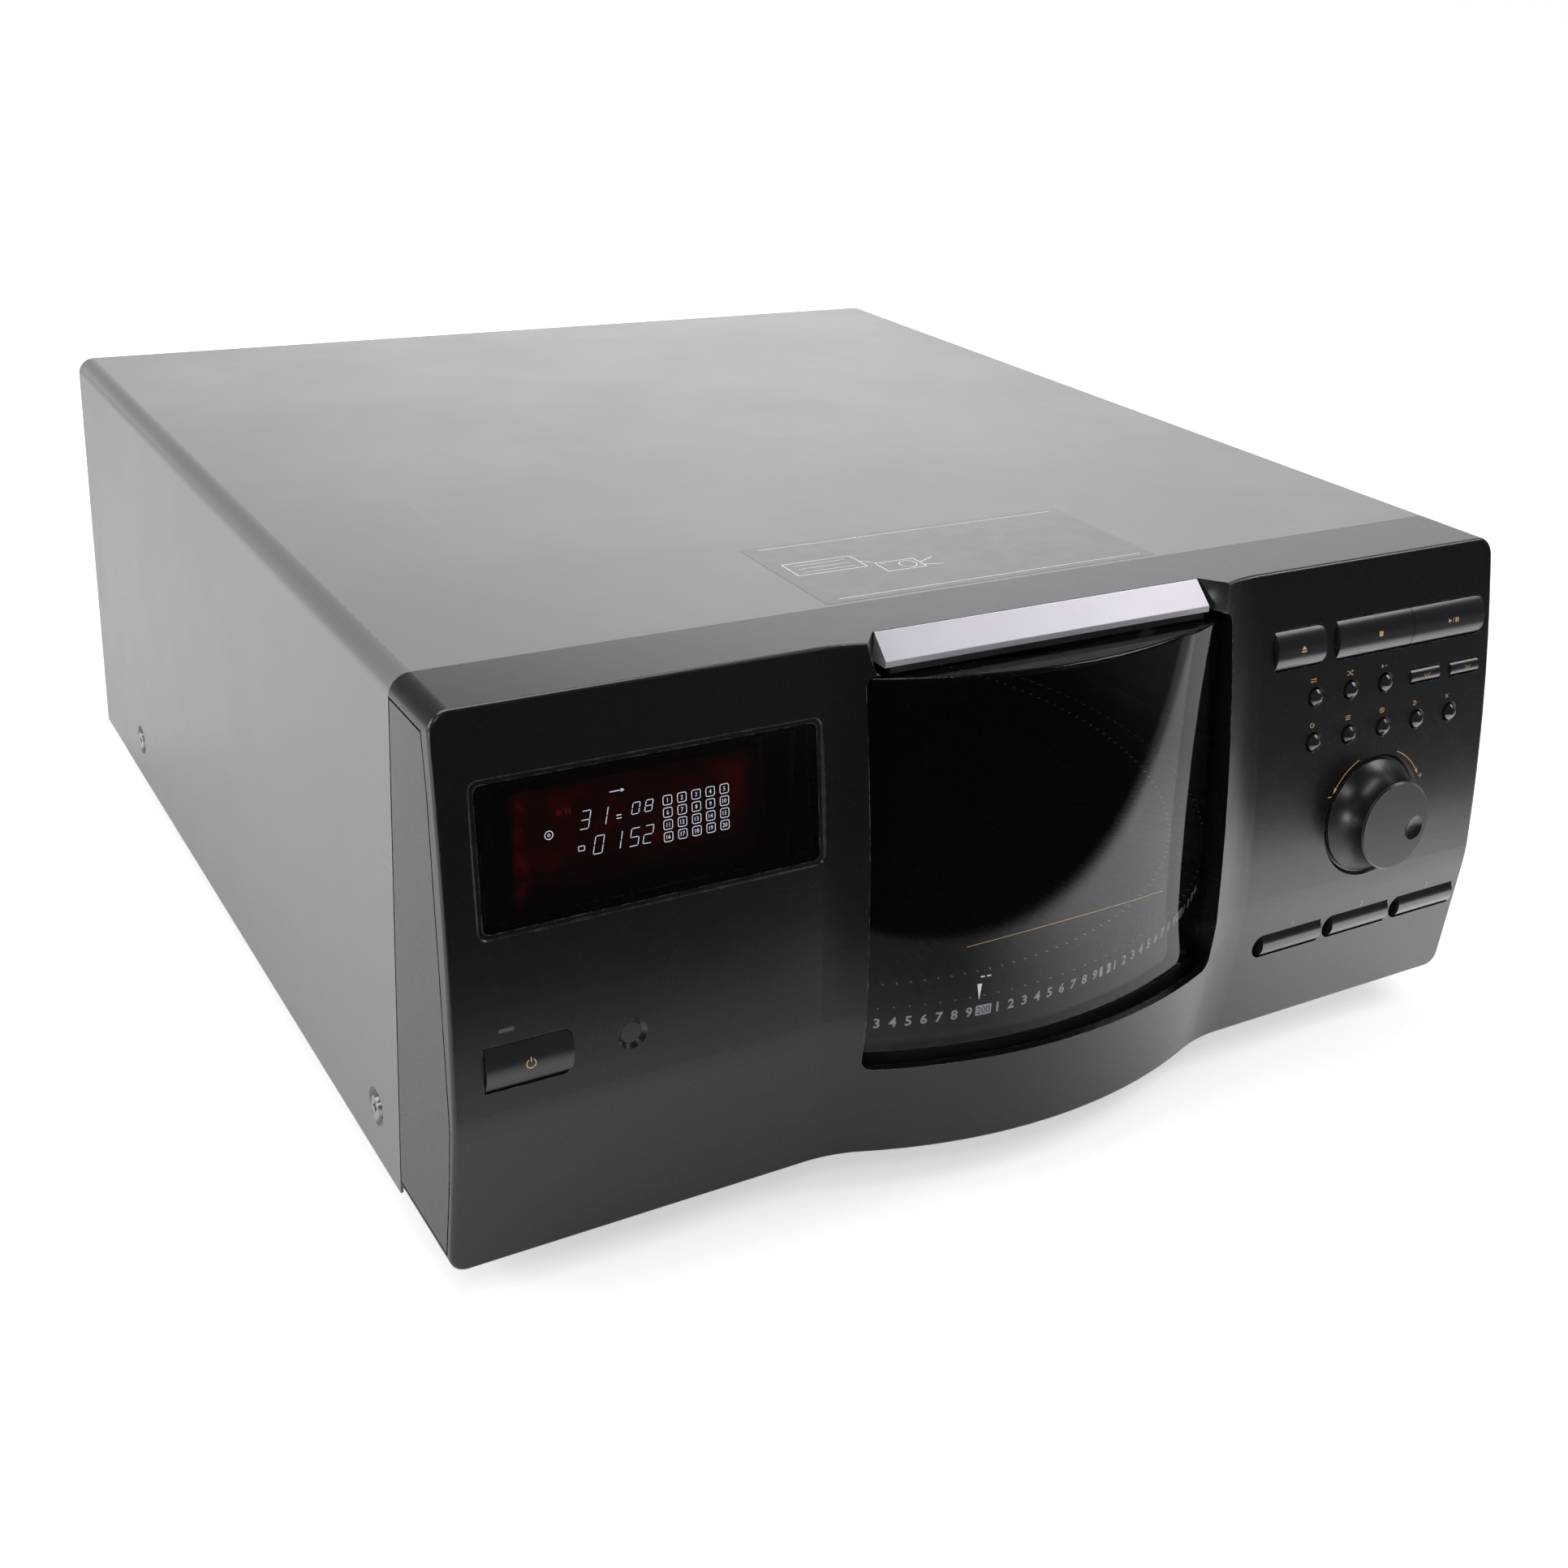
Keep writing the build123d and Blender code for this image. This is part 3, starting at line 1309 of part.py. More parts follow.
# pickup: body on the rails with a lens and a rack for the sled gear
sled_pitch = sled_module * sled_teeth / 2
lens_z = spindle_z - sled_start
rack_face = sled_gear_at[0] - axis_y - sled_pitch - 0.1
rack_low = lens_z - 12.0
with BuildPart() as pickup_sled:
    with Locations((rail_x, axis_y, lens_z)):
        Box(6, 28, 17)
    with BuildSketch(Plane.XY.offset(lens_z - 20)):
        with Locations(*[(rail_x, axis_y + side * rail_spread / 2) for side in (-1, 1)]):
            Circle(rail_radius + 0.08)
    extrude(amount=40, mode=Mode.SUBTRACT)
    with BuildSketch(across_plane(rail_x + 3)):
        with Locations((0, lens_z)):
            Circle(4.5)
    extrude(amount=4.5)
    with BuildSketch(across_plane(rail_x + 7.5)):
        with Locations((0, lens_z)):
            Circle(2.5)
    extrude(amount=0.8)
    # rack
    with BuildSketch(across_plane(rail_x - 1.5)):
        with Locations(((13 + rack_face - 1.0) / 2, rack_low + rack_count * sled_module * pi / 2)):
            Rectangle(rack_face - 1.0 - 13, rack_count * sled_module * pi)
        for tooth in range(rack_count):
            height = rack_low + (tooth + 0.5) * sled_module * pi
            half_root = 0.30 * sled_module * pi
            half_tip = 0.10 * sled_module * pi
            Polygon(
                (rack_face - 1.2, height - half_root),
                (rack_face + 0.8, height - half_tip),
                (rack_face + 0.8, height + half_tip),
                (rack_face - 1.2, height + half_root),
                align=None,
            )
    extrude(amount=3)
save(pickup_sled, "pickup_sled")

with BuildPart() as sled_gear:
    nearest = round((sled_gear_at[1] - rack_low) / (sled_module * pi) - 0.5)
    offset_z = sled_gear_at[1] - (rack_low + (nearest + 0.5) * sled_module * pi)
    lead = degrees(offset_z / sled_pitch)
    tooth_points = []
    for tooth in range(sled_teeth):
        middle = 180.0 + lead + (tooth + 0.5) * 360.0 / sled_teeth
        root, tip = 0.28 * 360.0 / sled_teeth, 0.11 * 360.0 / sled_teeth
        tooth_points += ring_points(sled_pitch - 1.0, (middle - root,))
        tooth_points += ring_points(sled_pitch + 0.7, (middle - tip, middle + tip))
        tooth_points += ring_points(sled_pitch - 1.0, (middle + root,))
    with BuildSketch(across_plane(rail_x - 1.5)):
        with Locations((sled_gear_at[0] - axis_y, sled_gear_at[1])):
            Polygon(*tooth_points, align=None)
            Circle(motor_shaft + 0.05, mode=Mode.SUBTRACT)
    extrude(amount=3)
save(sled_gear, "sled_gear")

# clamper: arm hung from the ears, swung open at rest, with a free puck
arm_length = pivot_z - spindle_z
swing = radians(clamp_angle)
arm_plane = Plane(
    origin=(pivot_x, axis_y, pivot_z), x_dir=(0, 1, 0), z_dir=(-cos(swing), 0, -sin(swing))
)
puck_front = pivot_x - axis_x - 0.9
with BuildPart() as clamper_arm:
    with BuildSketch(arm_plane.offset(-1)):
        with Locations((0, arm_length / 2 + 1)):
            Rectangle(14, arm_length + 10)
    extrude(amount=2)
    # sleeve around the pivot and the pin of the pivot
    arm_axis = Plane(origin=(pivot_x, axis_y - 9.2, pivot_z), x_dir=(1, 0, 0), z_dir=(0, 1, 0))
    with BuildSketch(arm_axis):
        Circle(3)
    extrude(amount=18.4)
    with BuildSketch(arm_axis.offset(-2.8)):
        Circle(rail_radius)
    extrude(amount=24)
    # pin of the puck
    with BuildSketch(arm_plane):
        with Locations((0, arm_length)):
            Circle(1.5)
    extrude(amount=7)
save(clamper_arm, "clamper_arm")

with BuildPart() as clamper_puck:
    with BuildSketch(arm_plane.offset(1.3)):
        with Locations((0, arm_length)):
            Circle(4.5)
    extrude(amount=puck_front - 1.3 - 4)
    with BuildSketch(arm_plane.offset(puck_front - 4)):
        with Locations((0, arm_length)):
            Circle(puck_radius)
    extrude(amount=4)
    with BuildSketch(arm_plane.offset(puck_front)):
        with Locations((0, arm_length)):
            Circle(8.2)
    extrude(amount=-2, mode=Mode.SUBTRACT)
    with BuildSketch(arm_plane):
        with Locations((0, arm_length)):
            Circle(1.5 + 0.08)
    extrude(amount=7.3, mode=Mode.SUBTRACT)
save(clamper_puck, "clamper_puck")

# bridge over the discs, with a leg behind them
bridge_front = axis_y - 12.0
bridge_rear = seam_y + 346.0
bridge_high = bridge_low + bridge_depth
with BuildPart() as centre_bridge:
    with BuildSketch(Plane.XZ.offset(-bridge_front)):
        with Locations((axis_x, bridge_low + bridge_depth / 2)):
            Rectangle(bridge_width, bridge_depth)
            Rectangle(bridge_width - 2 * bridge_wall, bridge_depth - 2 * bridge_wall, mode=Mode.SUBTRACT)
        with Locations((axis_x, bridge_low + bridge_wall / 2)):
            Rectangle(bridge_width - 12, bridge_wall, mode=Mode.SUBTRACT)
    extrude(amount=bridge_front - bridge_rear)
    with Locations((axis_x, bridge_rear - 1.5, (pan_floor + bridge_high) / 2)):
        Box(bridge_width, 3, bridge_high - pan_floor)
    with Locations((axis_x, bridge_rear + 3, pan_floor + 1)):
        Box(bridge_width, 12, 2)
save(centre_bridge, "centre_bridge")

finger_y = axis_y + outer_comb[0] - 6 + disc_radius + 2.5
with BuildPart() as disc_pusher:
    with Locations((axis_x, finger_y, bridge_low + bridge_wall + 0.15 + 3)):
        Box(bridge_width - 2 * bridge_wall - 0.6, 16, 6)
    with Locations((axis_x, finger_y, bridge_low + bridge_wall + 1.5 - 2.5)):
        Box(bridge_width - 12 - 1.0, 16, 5)
    with Locations((axis_x, finger_y, (spindle_z + 12 + bridge_low) / 2)):
        Box(1.6, 4, bridge_low - spindle_z - 12)
save(disc_pusher, "disc_pusher")
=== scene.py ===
import math

import bmesh
import bpy
from mathutils import Matrix, Vector
from mathutils.bvhtree import BVHTree


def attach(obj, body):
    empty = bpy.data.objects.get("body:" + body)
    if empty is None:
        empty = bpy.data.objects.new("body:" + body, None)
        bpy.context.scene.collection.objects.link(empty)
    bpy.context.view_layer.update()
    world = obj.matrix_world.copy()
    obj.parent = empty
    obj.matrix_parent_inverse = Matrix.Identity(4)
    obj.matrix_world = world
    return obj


# The looks of a two hundred disc changer, in metres, in the part's own frame:
# X to the right as seen from the front, the front faces -Y, Z up from the floor.

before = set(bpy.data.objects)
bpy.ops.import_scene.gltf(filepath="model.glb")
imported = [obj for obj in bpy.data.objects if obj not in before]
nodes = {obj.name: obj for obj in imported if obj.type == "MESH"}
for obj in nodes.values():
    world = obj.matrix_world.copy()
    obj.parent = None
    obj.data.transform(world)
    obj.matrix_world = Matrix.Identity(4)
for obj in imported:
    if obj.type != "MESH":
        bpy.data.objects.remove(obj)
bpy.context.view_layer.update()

MM = 0.001

# ------------------------------------------------------------------ the part's driving sizes
BASE = 16.0                 # the cover's lower edge above the floor
TOP = 198.5
SEAM = -181.667             # joint of the cover and the front panel
AXIS_X, AXIS_Y = 3.0, -40.833
NOSE_REACH, NOSE_Z = 48.7, 69.0
BROW_REACH = 31.0
TOE_REACH, TOE_Z = 44.2, 15.3
BROW_SAGITTA = 2.93
DIAL_X, DIAL_Z = 158.4, 97.4
RIM = 183.0                 # radius of the disc ring's number band

BROW_CHORD = math.hypot(NOSE_REACH - BROW_REACH, TOP - NOSE_Z)
BROW_RADIUS = BROW_CHORD**2 / (8 * BROW_SAGITTA) + BROW_SAGITTA / 2
CHORD_Y = (NOSE_REACH - BROW_REACH) / BROW_CHORD
CHORD_Z = (TOP - NOSE_Z) / BROW_CHORD
BROW_Y = SEAM - (NOSE_REACH + BROW_REACH) / 2 + CHORD_Z * (BROW_RADIUS - BROW_SAGITTA)
BROW_Z = (NOSE_Z + TOP) / 2 - CHORD_Y * (BROW_RADIUS - BROW_SAGITTA)
TOE_SLOPE = (NOSE_REACH - TOE_REACH) / (NOSE_Z - TOE_Z)


def face_frame(x, z):
    """Origin on the panel's face and its right, up and outward directions, in millimetres."""
    if z < NOSE_Z:
        lean = -math.atan(TOE_SLOPE)
        y = SEAM - TOE_REACH - TOE_SLOPE * (z - TOE_Z)
    else:
        lean = math.asin((z - BROW_Z) / BROW_RADIUS)
        y = BROW_Y - math.sqrt(BROW_RADIUS**2 - (z - BROW_Z) ** 2)
    up = Vector((0, math.sin(lean), math.cos(lean)))
    out = Vector((0, -math.cos(lean), math.sin(lean)))
    return Vector((x, y, z)), Vector((1, 0, 0)), up, out


# ------------------------------------------------------------------ camera
EYE = (-0.38834, -0.67680, 0.41295)
LENS = 43.858               # in mm, on a sensor 36 mm wide
camera = bpy.data.objects.new("camera", bpy.data.cameras.new("camera"))
bpy.context.scene.collection.objects.link(camera)
camera.data.sensor_width = 36.0
camera.data.lens = LENS
camera.data.shift_x = 0.0053
camera.data.shift_y = -0.0752
camera.data.clip_end = 60.0
right = Vector((0.86270227, -0.50308091, 0.05152074))
down = Vector((-0.14624801, -0.34571315, -0.92687321))
ahead = Vector((0.48410361, 0.79208082, -0.3718221))
turn = Matrix((right, -down, -ahead)).transposed().to_4x4()
camera.matrix_world = Matrix.Translation(EYE) @ turn
bpy.context.scene.camera = camera
bpy.context.scene.view_settings.view_transform = "Standard"


# ------------------------------------------------------------------ shader building
class Nodes:
    """Short calls to build one node tree."""

    def __init__(self, tree):
        self.tree = tree
        tree.nodes.clear()

    def add(self, kind, inputs=None, **settings):
        made = self.tree.nodes.new(kind)
        for key, value in settings.items():
            setattr(made, key, value)
        for key, value in (inputs or {}).items():
            if isinstance(value, bpy.types.NodeSocket):
                self.tree.links.new(value, made.inputs[key])
            else:
                made.inputs[key].default_value = value
        return made

    def place(self, scale=(1, 1, 1), turn=(0, 0, 0)):
        """Place on the piece, in metres, stretched by scale."""
        at = self.add("ShaderNodeTexCoord").outputs["Object"]
        return self.add("ShaderNodeMapping", {"Vector": at, "Scale": scale, "Rotation": turn}).outputs[0]

    def noise(self, scale, detail=2.0, rough=0.5, at=None):
        vector = self.place() if at is None else at
        inputs = {"Vector": vector, "Scale": scale, "Detail": detail, "Roughness": rough}
        return self.add("ShaderNodeTexNoise", inputs).outputs[0]

    def spread(self, value, low, high, start=0.0, end=1.0, smooth=True):
        """Value from low..high mapped onto start..end and clamped."""
        kind = "SMOOTHSTEP" if smooth else "LINEAR"
        inputs = {"Value": value, "From Min": low, "From Max": high, "To Min": start, "To Max": end}
        return self.add("ShaderNodeMapRange", inputs, interpolation_type=kind).outputs[0]

    def math(self, operation, first, second=0.0):
        made = self.add("ShaderNodeMath", operation=operation)
        for socket, value in zip(made.inputs, (first, second)):
            if isinstance(value, bpy.types.NodeSocket):
                self.tree.links.new(value, socket)
            else:
                socket.default_value = value
        return made.outputs[0]

    def mix(self, share, first, second):
        """Colour between first and second."""
        made = self.add("ShaderNodeMix", data_type="RGBA")
        for index, value in ((0, share), (6, first), (7, second)):
            if isinstance(value, bpy.types.NodeSocket):
                self.tree.links.new(value, made.inputs[index])
            else:
                made.inputs[index].default_value = value
        return made.outputs[2]

    def bump(self, height, depth):
        return self.add("ShaderNodeBump", {"Height": height, "Distance": depth, "Strength": 1.0}).outputs[0]

    def edges(self, radius, sharp=(0.02, 0.25)):
        """1 on outer and inner edges, 0 on flats."""
        soft = self.add("ShaderNodeBevel", {"Radius": radius}, samples=4).outputs[0]
        true = self.add("ShaderNodeNewGeometry").outputs["Normal"]
        likeness = self.add("ShaderNodeVectorMath", {0: soft, 1: true}, operation="DOT_PRODUCT").outputs["Value"]
        return self.spread(self.math("SUBTRACT", 1.0, likeness), sharp[0], sharp[1])

    def facing_up(self):
        true = self.add("ShaderNodeNewGeometry").outputs["Normal"]
        return self.add("ShaderNodeSeparateXYZ", {0: true}).outputs["Z"]

    def surface(self, shader):
        self.add("ShaderNodeOutputMaterial", {"Surface": shader})


WORN = 0.0006               # width of a pale edge band: worn edges, and on the front panel also a painted edge highlight
LINE_DEPTH = 0.000006       # depth of the lines in brushed metal


def rgb(red, green=None, blue=None):
    """A colour written as three shares, or one for grey."""
    return (red, red, red, 1.0) if green is None else (red, green, blue, 1.0)


def scaled(colour, share):
    return tuple(part * share for part in colour[:3]) + (1.0,)


def new_material(name):
    made = bpy.data.materials.new(name)
    made.use_nodes = True
    return made, Nodes(made.node_tree)


def moulded(name, colour, rough, *, mottle=0.08, grain=1200.0, depth=0.00001, wear=None, dust=0.0,
            level=0.5, rough_spread=0.06):
    """Moulded, painted or cast surface: mottled colour, fine grain, worn edges (on the front panel also a painted edge
    highlight), dust on top.
    """
    made, n = new_material(name)
    patches = n.noise(38.0, 4.0, 0.6)
    base = n.mix(n.spread(patches, 0.3, 0.7), scaled(colour, 1 - mottle), scaled(colour, 1 + mottle))
    if wear is not None:
        # pale rubbed edges: wear, and on the front panel also a painted highlight along its edges
        rubbed = n.math("MULTIPLY", n.edges(WORN), n.spread(n.noise(260.0, 3.0, 0.7), 0.42, 0.66))
        base = n.mix(rubbed, base, wear)
    if dust > 0:
        settled = n.math("MULTIPLY", n.spread(n.facing_up(), 0.5, 0.95), n.noise(520.0, 5.0, 0.75))
        base = n.mix(n.math("MULTIPLY", settled, dust), base, rgb(0.32, 0.31, 0.30))
    fine = n.noise(grain, 3.0, 0.6)
    roughness = n.spread(n.noise(90.0, 4.0, 0.7), 0.3, 0.7, rough - rough_spread, rough + rough_spread)
    inputs = {
        "Base Color": base, "Roughness": roughness, "Metallic": 0.0, "Specular IOR Level": level,
        "IOR": 1.5, "Coat Weight": 0.0, "Normal": n.bump(fine, depth),
    }
    n.surface(n.add("ShaderNodeBsdfPrincipled", inputs).outputs[0])
    return made


def brushed(name, colour, rough, *, along, wear, scale=900.0, metallic=1.0):
    """Metal with fine lines: along stretches the grain, the small share being the lines' direction."""
    made, n = new_material(name)
    lines = n.noise(scale, 3.0, 0.6, at=n.place(along))
    patches = n.noise(30.0, 3.0, 0.6)
    base = n.mix(n.spread(lines, 0.3, 0.7), scaled(colour, 0.94), scaled(colour, 1.04))
    base = n.mix(n.spread(patches, 0.35, 0.75, 0.0, 0.5), base, scaled(colour, 0.9))
    base = n.mix(n.edges(WORN), base, wear)
    roughness = n.spread(lines, 0.25, 0.75, rough - 0.07, rough + 0.07)
    inputs = {"Base Color": base, "Roughness": roughness, "Metallic": metallic, "Normal": n.bump(lines, LINE_DEPTH)}
    n.surface(n.add("ShaderNodeBsdfPrincipled", inputs).outputs[0])
    return made


def cover_paint():
    """Semi gloss grey enamel with a faint grain, hairline scratches and rubbed corners."""
    made, n = new_material("cover_paint")
    patches = n.noise(7.0, 4.0, 0.6)
    base = n.mix(n.spread(patches, 0.3, 0.7), rgb(0.136, 0.134, 0.137), rgb(0.146, 0.143, 0.148))
    # rubbed long edges, strongest in short runs
    runs = n.spread(n.noise(22.0, 3.0, 0.6), 0.50, 0.72)
    flecks = n.spread(n.noise(420.0, 3.0, 0.7), 0.52, 0.66)
    rubbed = n.math("MULTIPLY", n.math("MULTIPLY", n.edges(0.004, (0.01, 0.12)), runs), flecks)
    base = n.mix(n.math("MULTIPLY", rubbed, 0.55), base, rgb(0.42))
    # hairline scratches in three directions
    scratches = None
    for index, (angle, stretch, width) in enumerate(((0.5, 1.6, 0.0022), (-0.9, 2.1, 0.0018), (2.1, 1.3, 0.0015))):
        at = n.place((70.0, stretch, 6.0), (0, 0, angle))
        ridge = n.math("ABSOLUTE", n.math("SUBTRACT", n.noise(1.0, 1.0, 0.5, at=at), 0.5))
        line = n.spread(ridge, width * 0.4, width, 1.0, 0.0)
        gate = n.spread(n.noise(5.0 + index, 2.0, 0.5), 0.60, 0.68)
        line = n.math("MULTIPLY", line, gate)
        scratches = line if scratches is None else n.math("MAXIMUM", scratches, line)
    base = n.mix(n.math("MULTIPLY", scratches, 0.3), base, rgb(0.34))
    fine = n.noise(950.0, 3.0, 0.6)
    roughness = n.spread(n.noise(16.0, 4.0, 0.7), 0.3, 0.7, 0.30, 0.33)
    roughness = n.math("ADD", roughness, n.math("MULTIPLY", rubbed, 0.15))
    inputs = {
        "Base Color": base, "Roughness": roughness, "Specular IOR Level": 0.8,
        "Normal": n.bump(fine, 0.000008),
    }
    n.surface(n.add("ShaderNodeBsdfPrincipled", inputs).outputs[0])
    return made


def dial_finish():
    """Near black flank and slightly paler, rougher turned face of the dial, with a pale rim that is a painted highlight
    along its edges.
    """
    made, n = new_material("dial_plastic")
    normal = n.add("ShaderNodeNewGeometry").outputs["Normal"]
    _, _, _, out = face_frame(DIAL_X, DIAL_Z)
    ahead_share = n.add("ShaderNodeVectorMath", {0: normal, 1: out}, operation="DOT_PRODUCT").outputs["Value"]
    satin = n.spread(ahead_share, 0.90, 0.99)
    patches = n.noise(60.0, 3.0, 0.6)
    base = n.mix(satin, rgb(0.005, 0.005, 0.0065), rgb(0.028, 0.027, 0.030))
    base = n.mix(n.spread(patches, 0.3, 0.7, 0.0, 0.3), base, rgb(0.016))
    # pale rim: a painted highlight laid along the dial's edges
    base = n.mix(n.math("MULTIPLY", n.edges(0.0005), 0.8), base, rgb(0.30, 0.30, 0.32))
    roughness = n.spread(satin, 0.0, 1.0, 0.30, 0.34)
    fine = n.noise(1500.0, 3.0, 0.6)
    inputs = {"Base Color": base, "Roughness": roughness, "Specular IOR Level": 0.7, "Normal": n.bump(fine, 0.000002)}
    n.surface(n.add("ShaderNodeBsdfPrincipled", inputs).outputs[0])
    return made


def window_glass(name, tint, cover, rough, level=1.0):
    """Smoked pane: each of its faces hides its cover share of what is behind, more where seen at a slant."""
    made, n = new_material(name)
    smear = n.noise(30.0, 4.0, 0.7)
    roughness = n.spread(smear, 0.35, 0.75, rough, rough + 0.03)
    slant = n.add("ShaderNodeLayerWeight", {"Blend": 0.5}).outputs["Facing"]
    hidden = n.spread(n.math("POWER", slant, 3.0), 0.0, 1.0, cover, 1.0, smooth=False)
    inputs = {"Base Color": n.mix(n.spread(smear, 0.3, 0.7), scaled(tint, 0.9), scaled(tint, 1.1)),
              "Roughness": roughness, "Specular IOR Level": level, "Alpha": hidden}
    n.surface(n.add("ShaderNodeBsdfPrincipled", inputs).outputs[0])
    return made


def glow(name, colour, strength, body=rgb(0.02)):
    """Glowing surface with a slight flicker over its area: lit phosphor on the display, a painted glow on the disc
    ring's print and painted highlights on its comb.
    """
    made, n = new_material(name)
    flicker = n.spread(n.noise(700.0, 2.0, 0.5), 0.3, 0.7, 0.0, 1.0)
    inputs = {"Base Color": body, "Roughness": 0.4, "Emission Color": n.mix(flicker, scaled(colour, 0.8), colour),
              "Emission Strength": strength}
    n.surface(n.add("ShaderNodeBsdfPrincipled", inputs).outputs[0])
    return made


def tube_glow():
    """Dark tube face with dim red patches, brighter at its left end and near its upper right corner."""
    made, n = new_material("tube_glow")
    place = n.add("ShaderNodeSeparateXYZ", {0: n.add("ShaderNodeTexCoord").outputs["Object"]}).outputs
    patches = n.spread(n.noise(90.0, 4.0, 0.65), 0.38, 0.75)
    left_end = n.spread(place["X"], -0.190, -0.186, 0.9, 0.0)
    high_right = n.math("MULTIPLY", n.spread(place["X"], -0.121, -0.116), n.spread(place["Z"], 0.155, 0.165))
    ends = n.math("MAXIMUM", left_end, n.math("MULTIPLY", high_right, 0.5))
    strips = n.math("MULTIPLY", ends, n.spread(n.noise(220.0, 3.0, 0.7), 0.40, 0.68))
    middle = n.math("MULTIPLY", n.spread(place["Z"], 0.134, 0.152), n.spread(patches, 0.0, 1.0, 0.25, 1.0))
    shine = n.math("ADD", n.math("MULTIPLY", middle, 0.060), n.math("MULTIPLY", strips, 0.10))
    sides = n.math("MULTIPLY", n.spread(place["X"], -0.1935, -0.1895), n.spread(place["X"], -0.116, -0.111, 1.0, 0.0))
    ends_up = n.math("MULTIPLY", n.spread(place["Z"], 0.132, 0.138), n.spread(place["Z"], 0.164, 0.170, 1.0, 0.0))
    shine = n.math("MULTIPLY", shine, n.math("MULTIPLY", sides, ends_up))
    inputs = {"Base Color": rgb(0.004, 0.003, 0.003), "Roughness": 0.3, "Emission Color": rgb(1.0, 0.02, 0.035),
              "Emission Strength": shine}
    n.surface(n.add("ShaderNodeBsdfPrincipled", inputs).outputs[0])
    return made


finishes = {
    "painted_steel": cover_paint(),
    "bare_steel": brushed("zinc_steel", rgb(0.55, 0.55, 0.53), 0.38, along=(8, 1, 8), wear=rgb(0.7)),
    # the front panel's pale rubbed edges are partly wear and partly a painted highlight along its edges
    "panel_plastic": moulded("panel_plastic", rgb(0.0044, 0.0044, 0.0050), 0.27, mottle=0.05, depth=0.0000015,
                             wear=rgb(0.12), dust=0.004, rough_spread=0.01, level=0.72),
    "inner_plastic": moulded("inner_plastic", rgb(0.008, 0.008, 0.009), 0.6, wear=rgb(0.02), depth=0.00002,
                             level=0.3),
    "grey_plastic": moulded("grey_plastic", rgb(0.16, 0.16, 0.165), 0.5, wear=rgb(0.3)),
    "key_plastic": moulded("key_plastic", rgb(0.014, 0.013, 0.016), 0.24, depth=0.000003, rough_spread=0.01,
                           level=0.9),
    "dial_plastic": dial_finish(),
    "smoked_window": window_glass("smoked_window", rgb(0.002, 0.002, 0.0024), 0.34, 0.02),
    "display_filter": window_glass("display_filter", rgb(0.0035, 0.0028, 0.0022), 0.50, 0.05, 0.5),
    "clear_glass": window_glass("clear_glass", rgb(0.01, 0.01, 0.01), 0.3, 0.05, 0.5),
    "red_lens": moulded("red_lens", rgb(0.10, 0.075, 0.08), 0.2, depth=0.000003),
    "bar_metal": brushed("bar_metal", rgb(0.57, 0.54, 0.595), 0.40, along=(1, 6, 6), scale=1600.0, wear=rgb(0.85),
                         metallic=0.45),
    "felt": moulded("felt", rgb(0.012), 0.95, grain=2600.0, depth=0.0001, mottle=0.3),
    "white_plastic": moulded("white_plastic", rgb(0.66, 0.65, 0.61), 0.45, wear=rgb(0.75)),
    "board": moulded("board", rgb(0.30, 0.19, 0.07), 0.5, mottle=0.15),
    "rubber": moulded("rubber", rgb(0.022), 0.8, wear=rgb(0.05), depth=0.00003, dust=0.15),
    "screw_steel": brushed("screw_steel", rgb(0.42, 0.41, 0.38), 0.34, along=(1, 1, 1), wear=rgb(0.6), scale=1500.0),
}
gold_ink = moulded("gold_ink", rgb(0.62, 0.40, 0.19), 0.42, grain=3000.0, depth=0.000002)
pale_ink = moulded("pale_ink", rgb(0.70, 0.68, 0.76), 0.5, grain=3000.0, depth=0.000002)
# pale print on the disc ring that also glows: a painted glow, the print itself gives no light
ring_ink_painted_glow = glow("ring_ink_painted_glow", rgb(0.72, 0.69, 0.80), 0.50, rgb(0.70, 0.68, 0.76))
# painted highlights for the disc ring's comb: pale marks that glow faintly
glint_glow_ink = glow("glint_glow_ink", rgb(0.72, 0.69, 0.80), 0.16, rgb(0.4))
dark_ink = moulded("dark_ink", rgb(0.03, 0.03, 0.034), 0.5, grain=3000.0, depth=0.000002)
line_ink = moulded("line_ink", rgb(0.80), 0.45, grain=3000.0, depth=0.000002)
film = moulded("film", rgb(0.095, 0.094, 0.098), 0.28, mottle=0.04, depth=0.000002, level=0.7, rough_spread=0.02)
segment_light = glow("segment_light", rgb(0.80, 0.87, 1.0), 3.0)
ghost_light = glow("ghost_light", rgb(1.0, 0.05, 0.06), 0.22)
for node in nodes.values():
    for spot in node.material_slots:
        plain = spot.material.name.split(".")[0]
        spot.material = finishes[plain]
nodes["display_board"].material_slots[0].material = moulded("dark_board", rgb(0.006, 0.006, 0.006), 0.5)
nodes["rear_panel"].material_slots[0].material = brushed("rear_zinc", rgb(0.26, 0.26, 0.25), 0.42, along=(8, 1, 8),
                                                         wear=rgb(0.5))
nodes["sensor_lens"].material_slots[0].material = moulded("sensor_dome", rgb(0.004, 0.003, 0.004), 0.06,
                                                          depth=0.000001, rough_spread=0.01, level=1.0)
glossy_key = moulded("glossy_key", rgb(0.014, 0.014, 0.016), 0.17, depth=0.000002, rough_spread=0.02, level=1.0)
for index in range(1, 9):
    nodes[f"mode_button_{index}"].material_slots[0].material = glossy_key

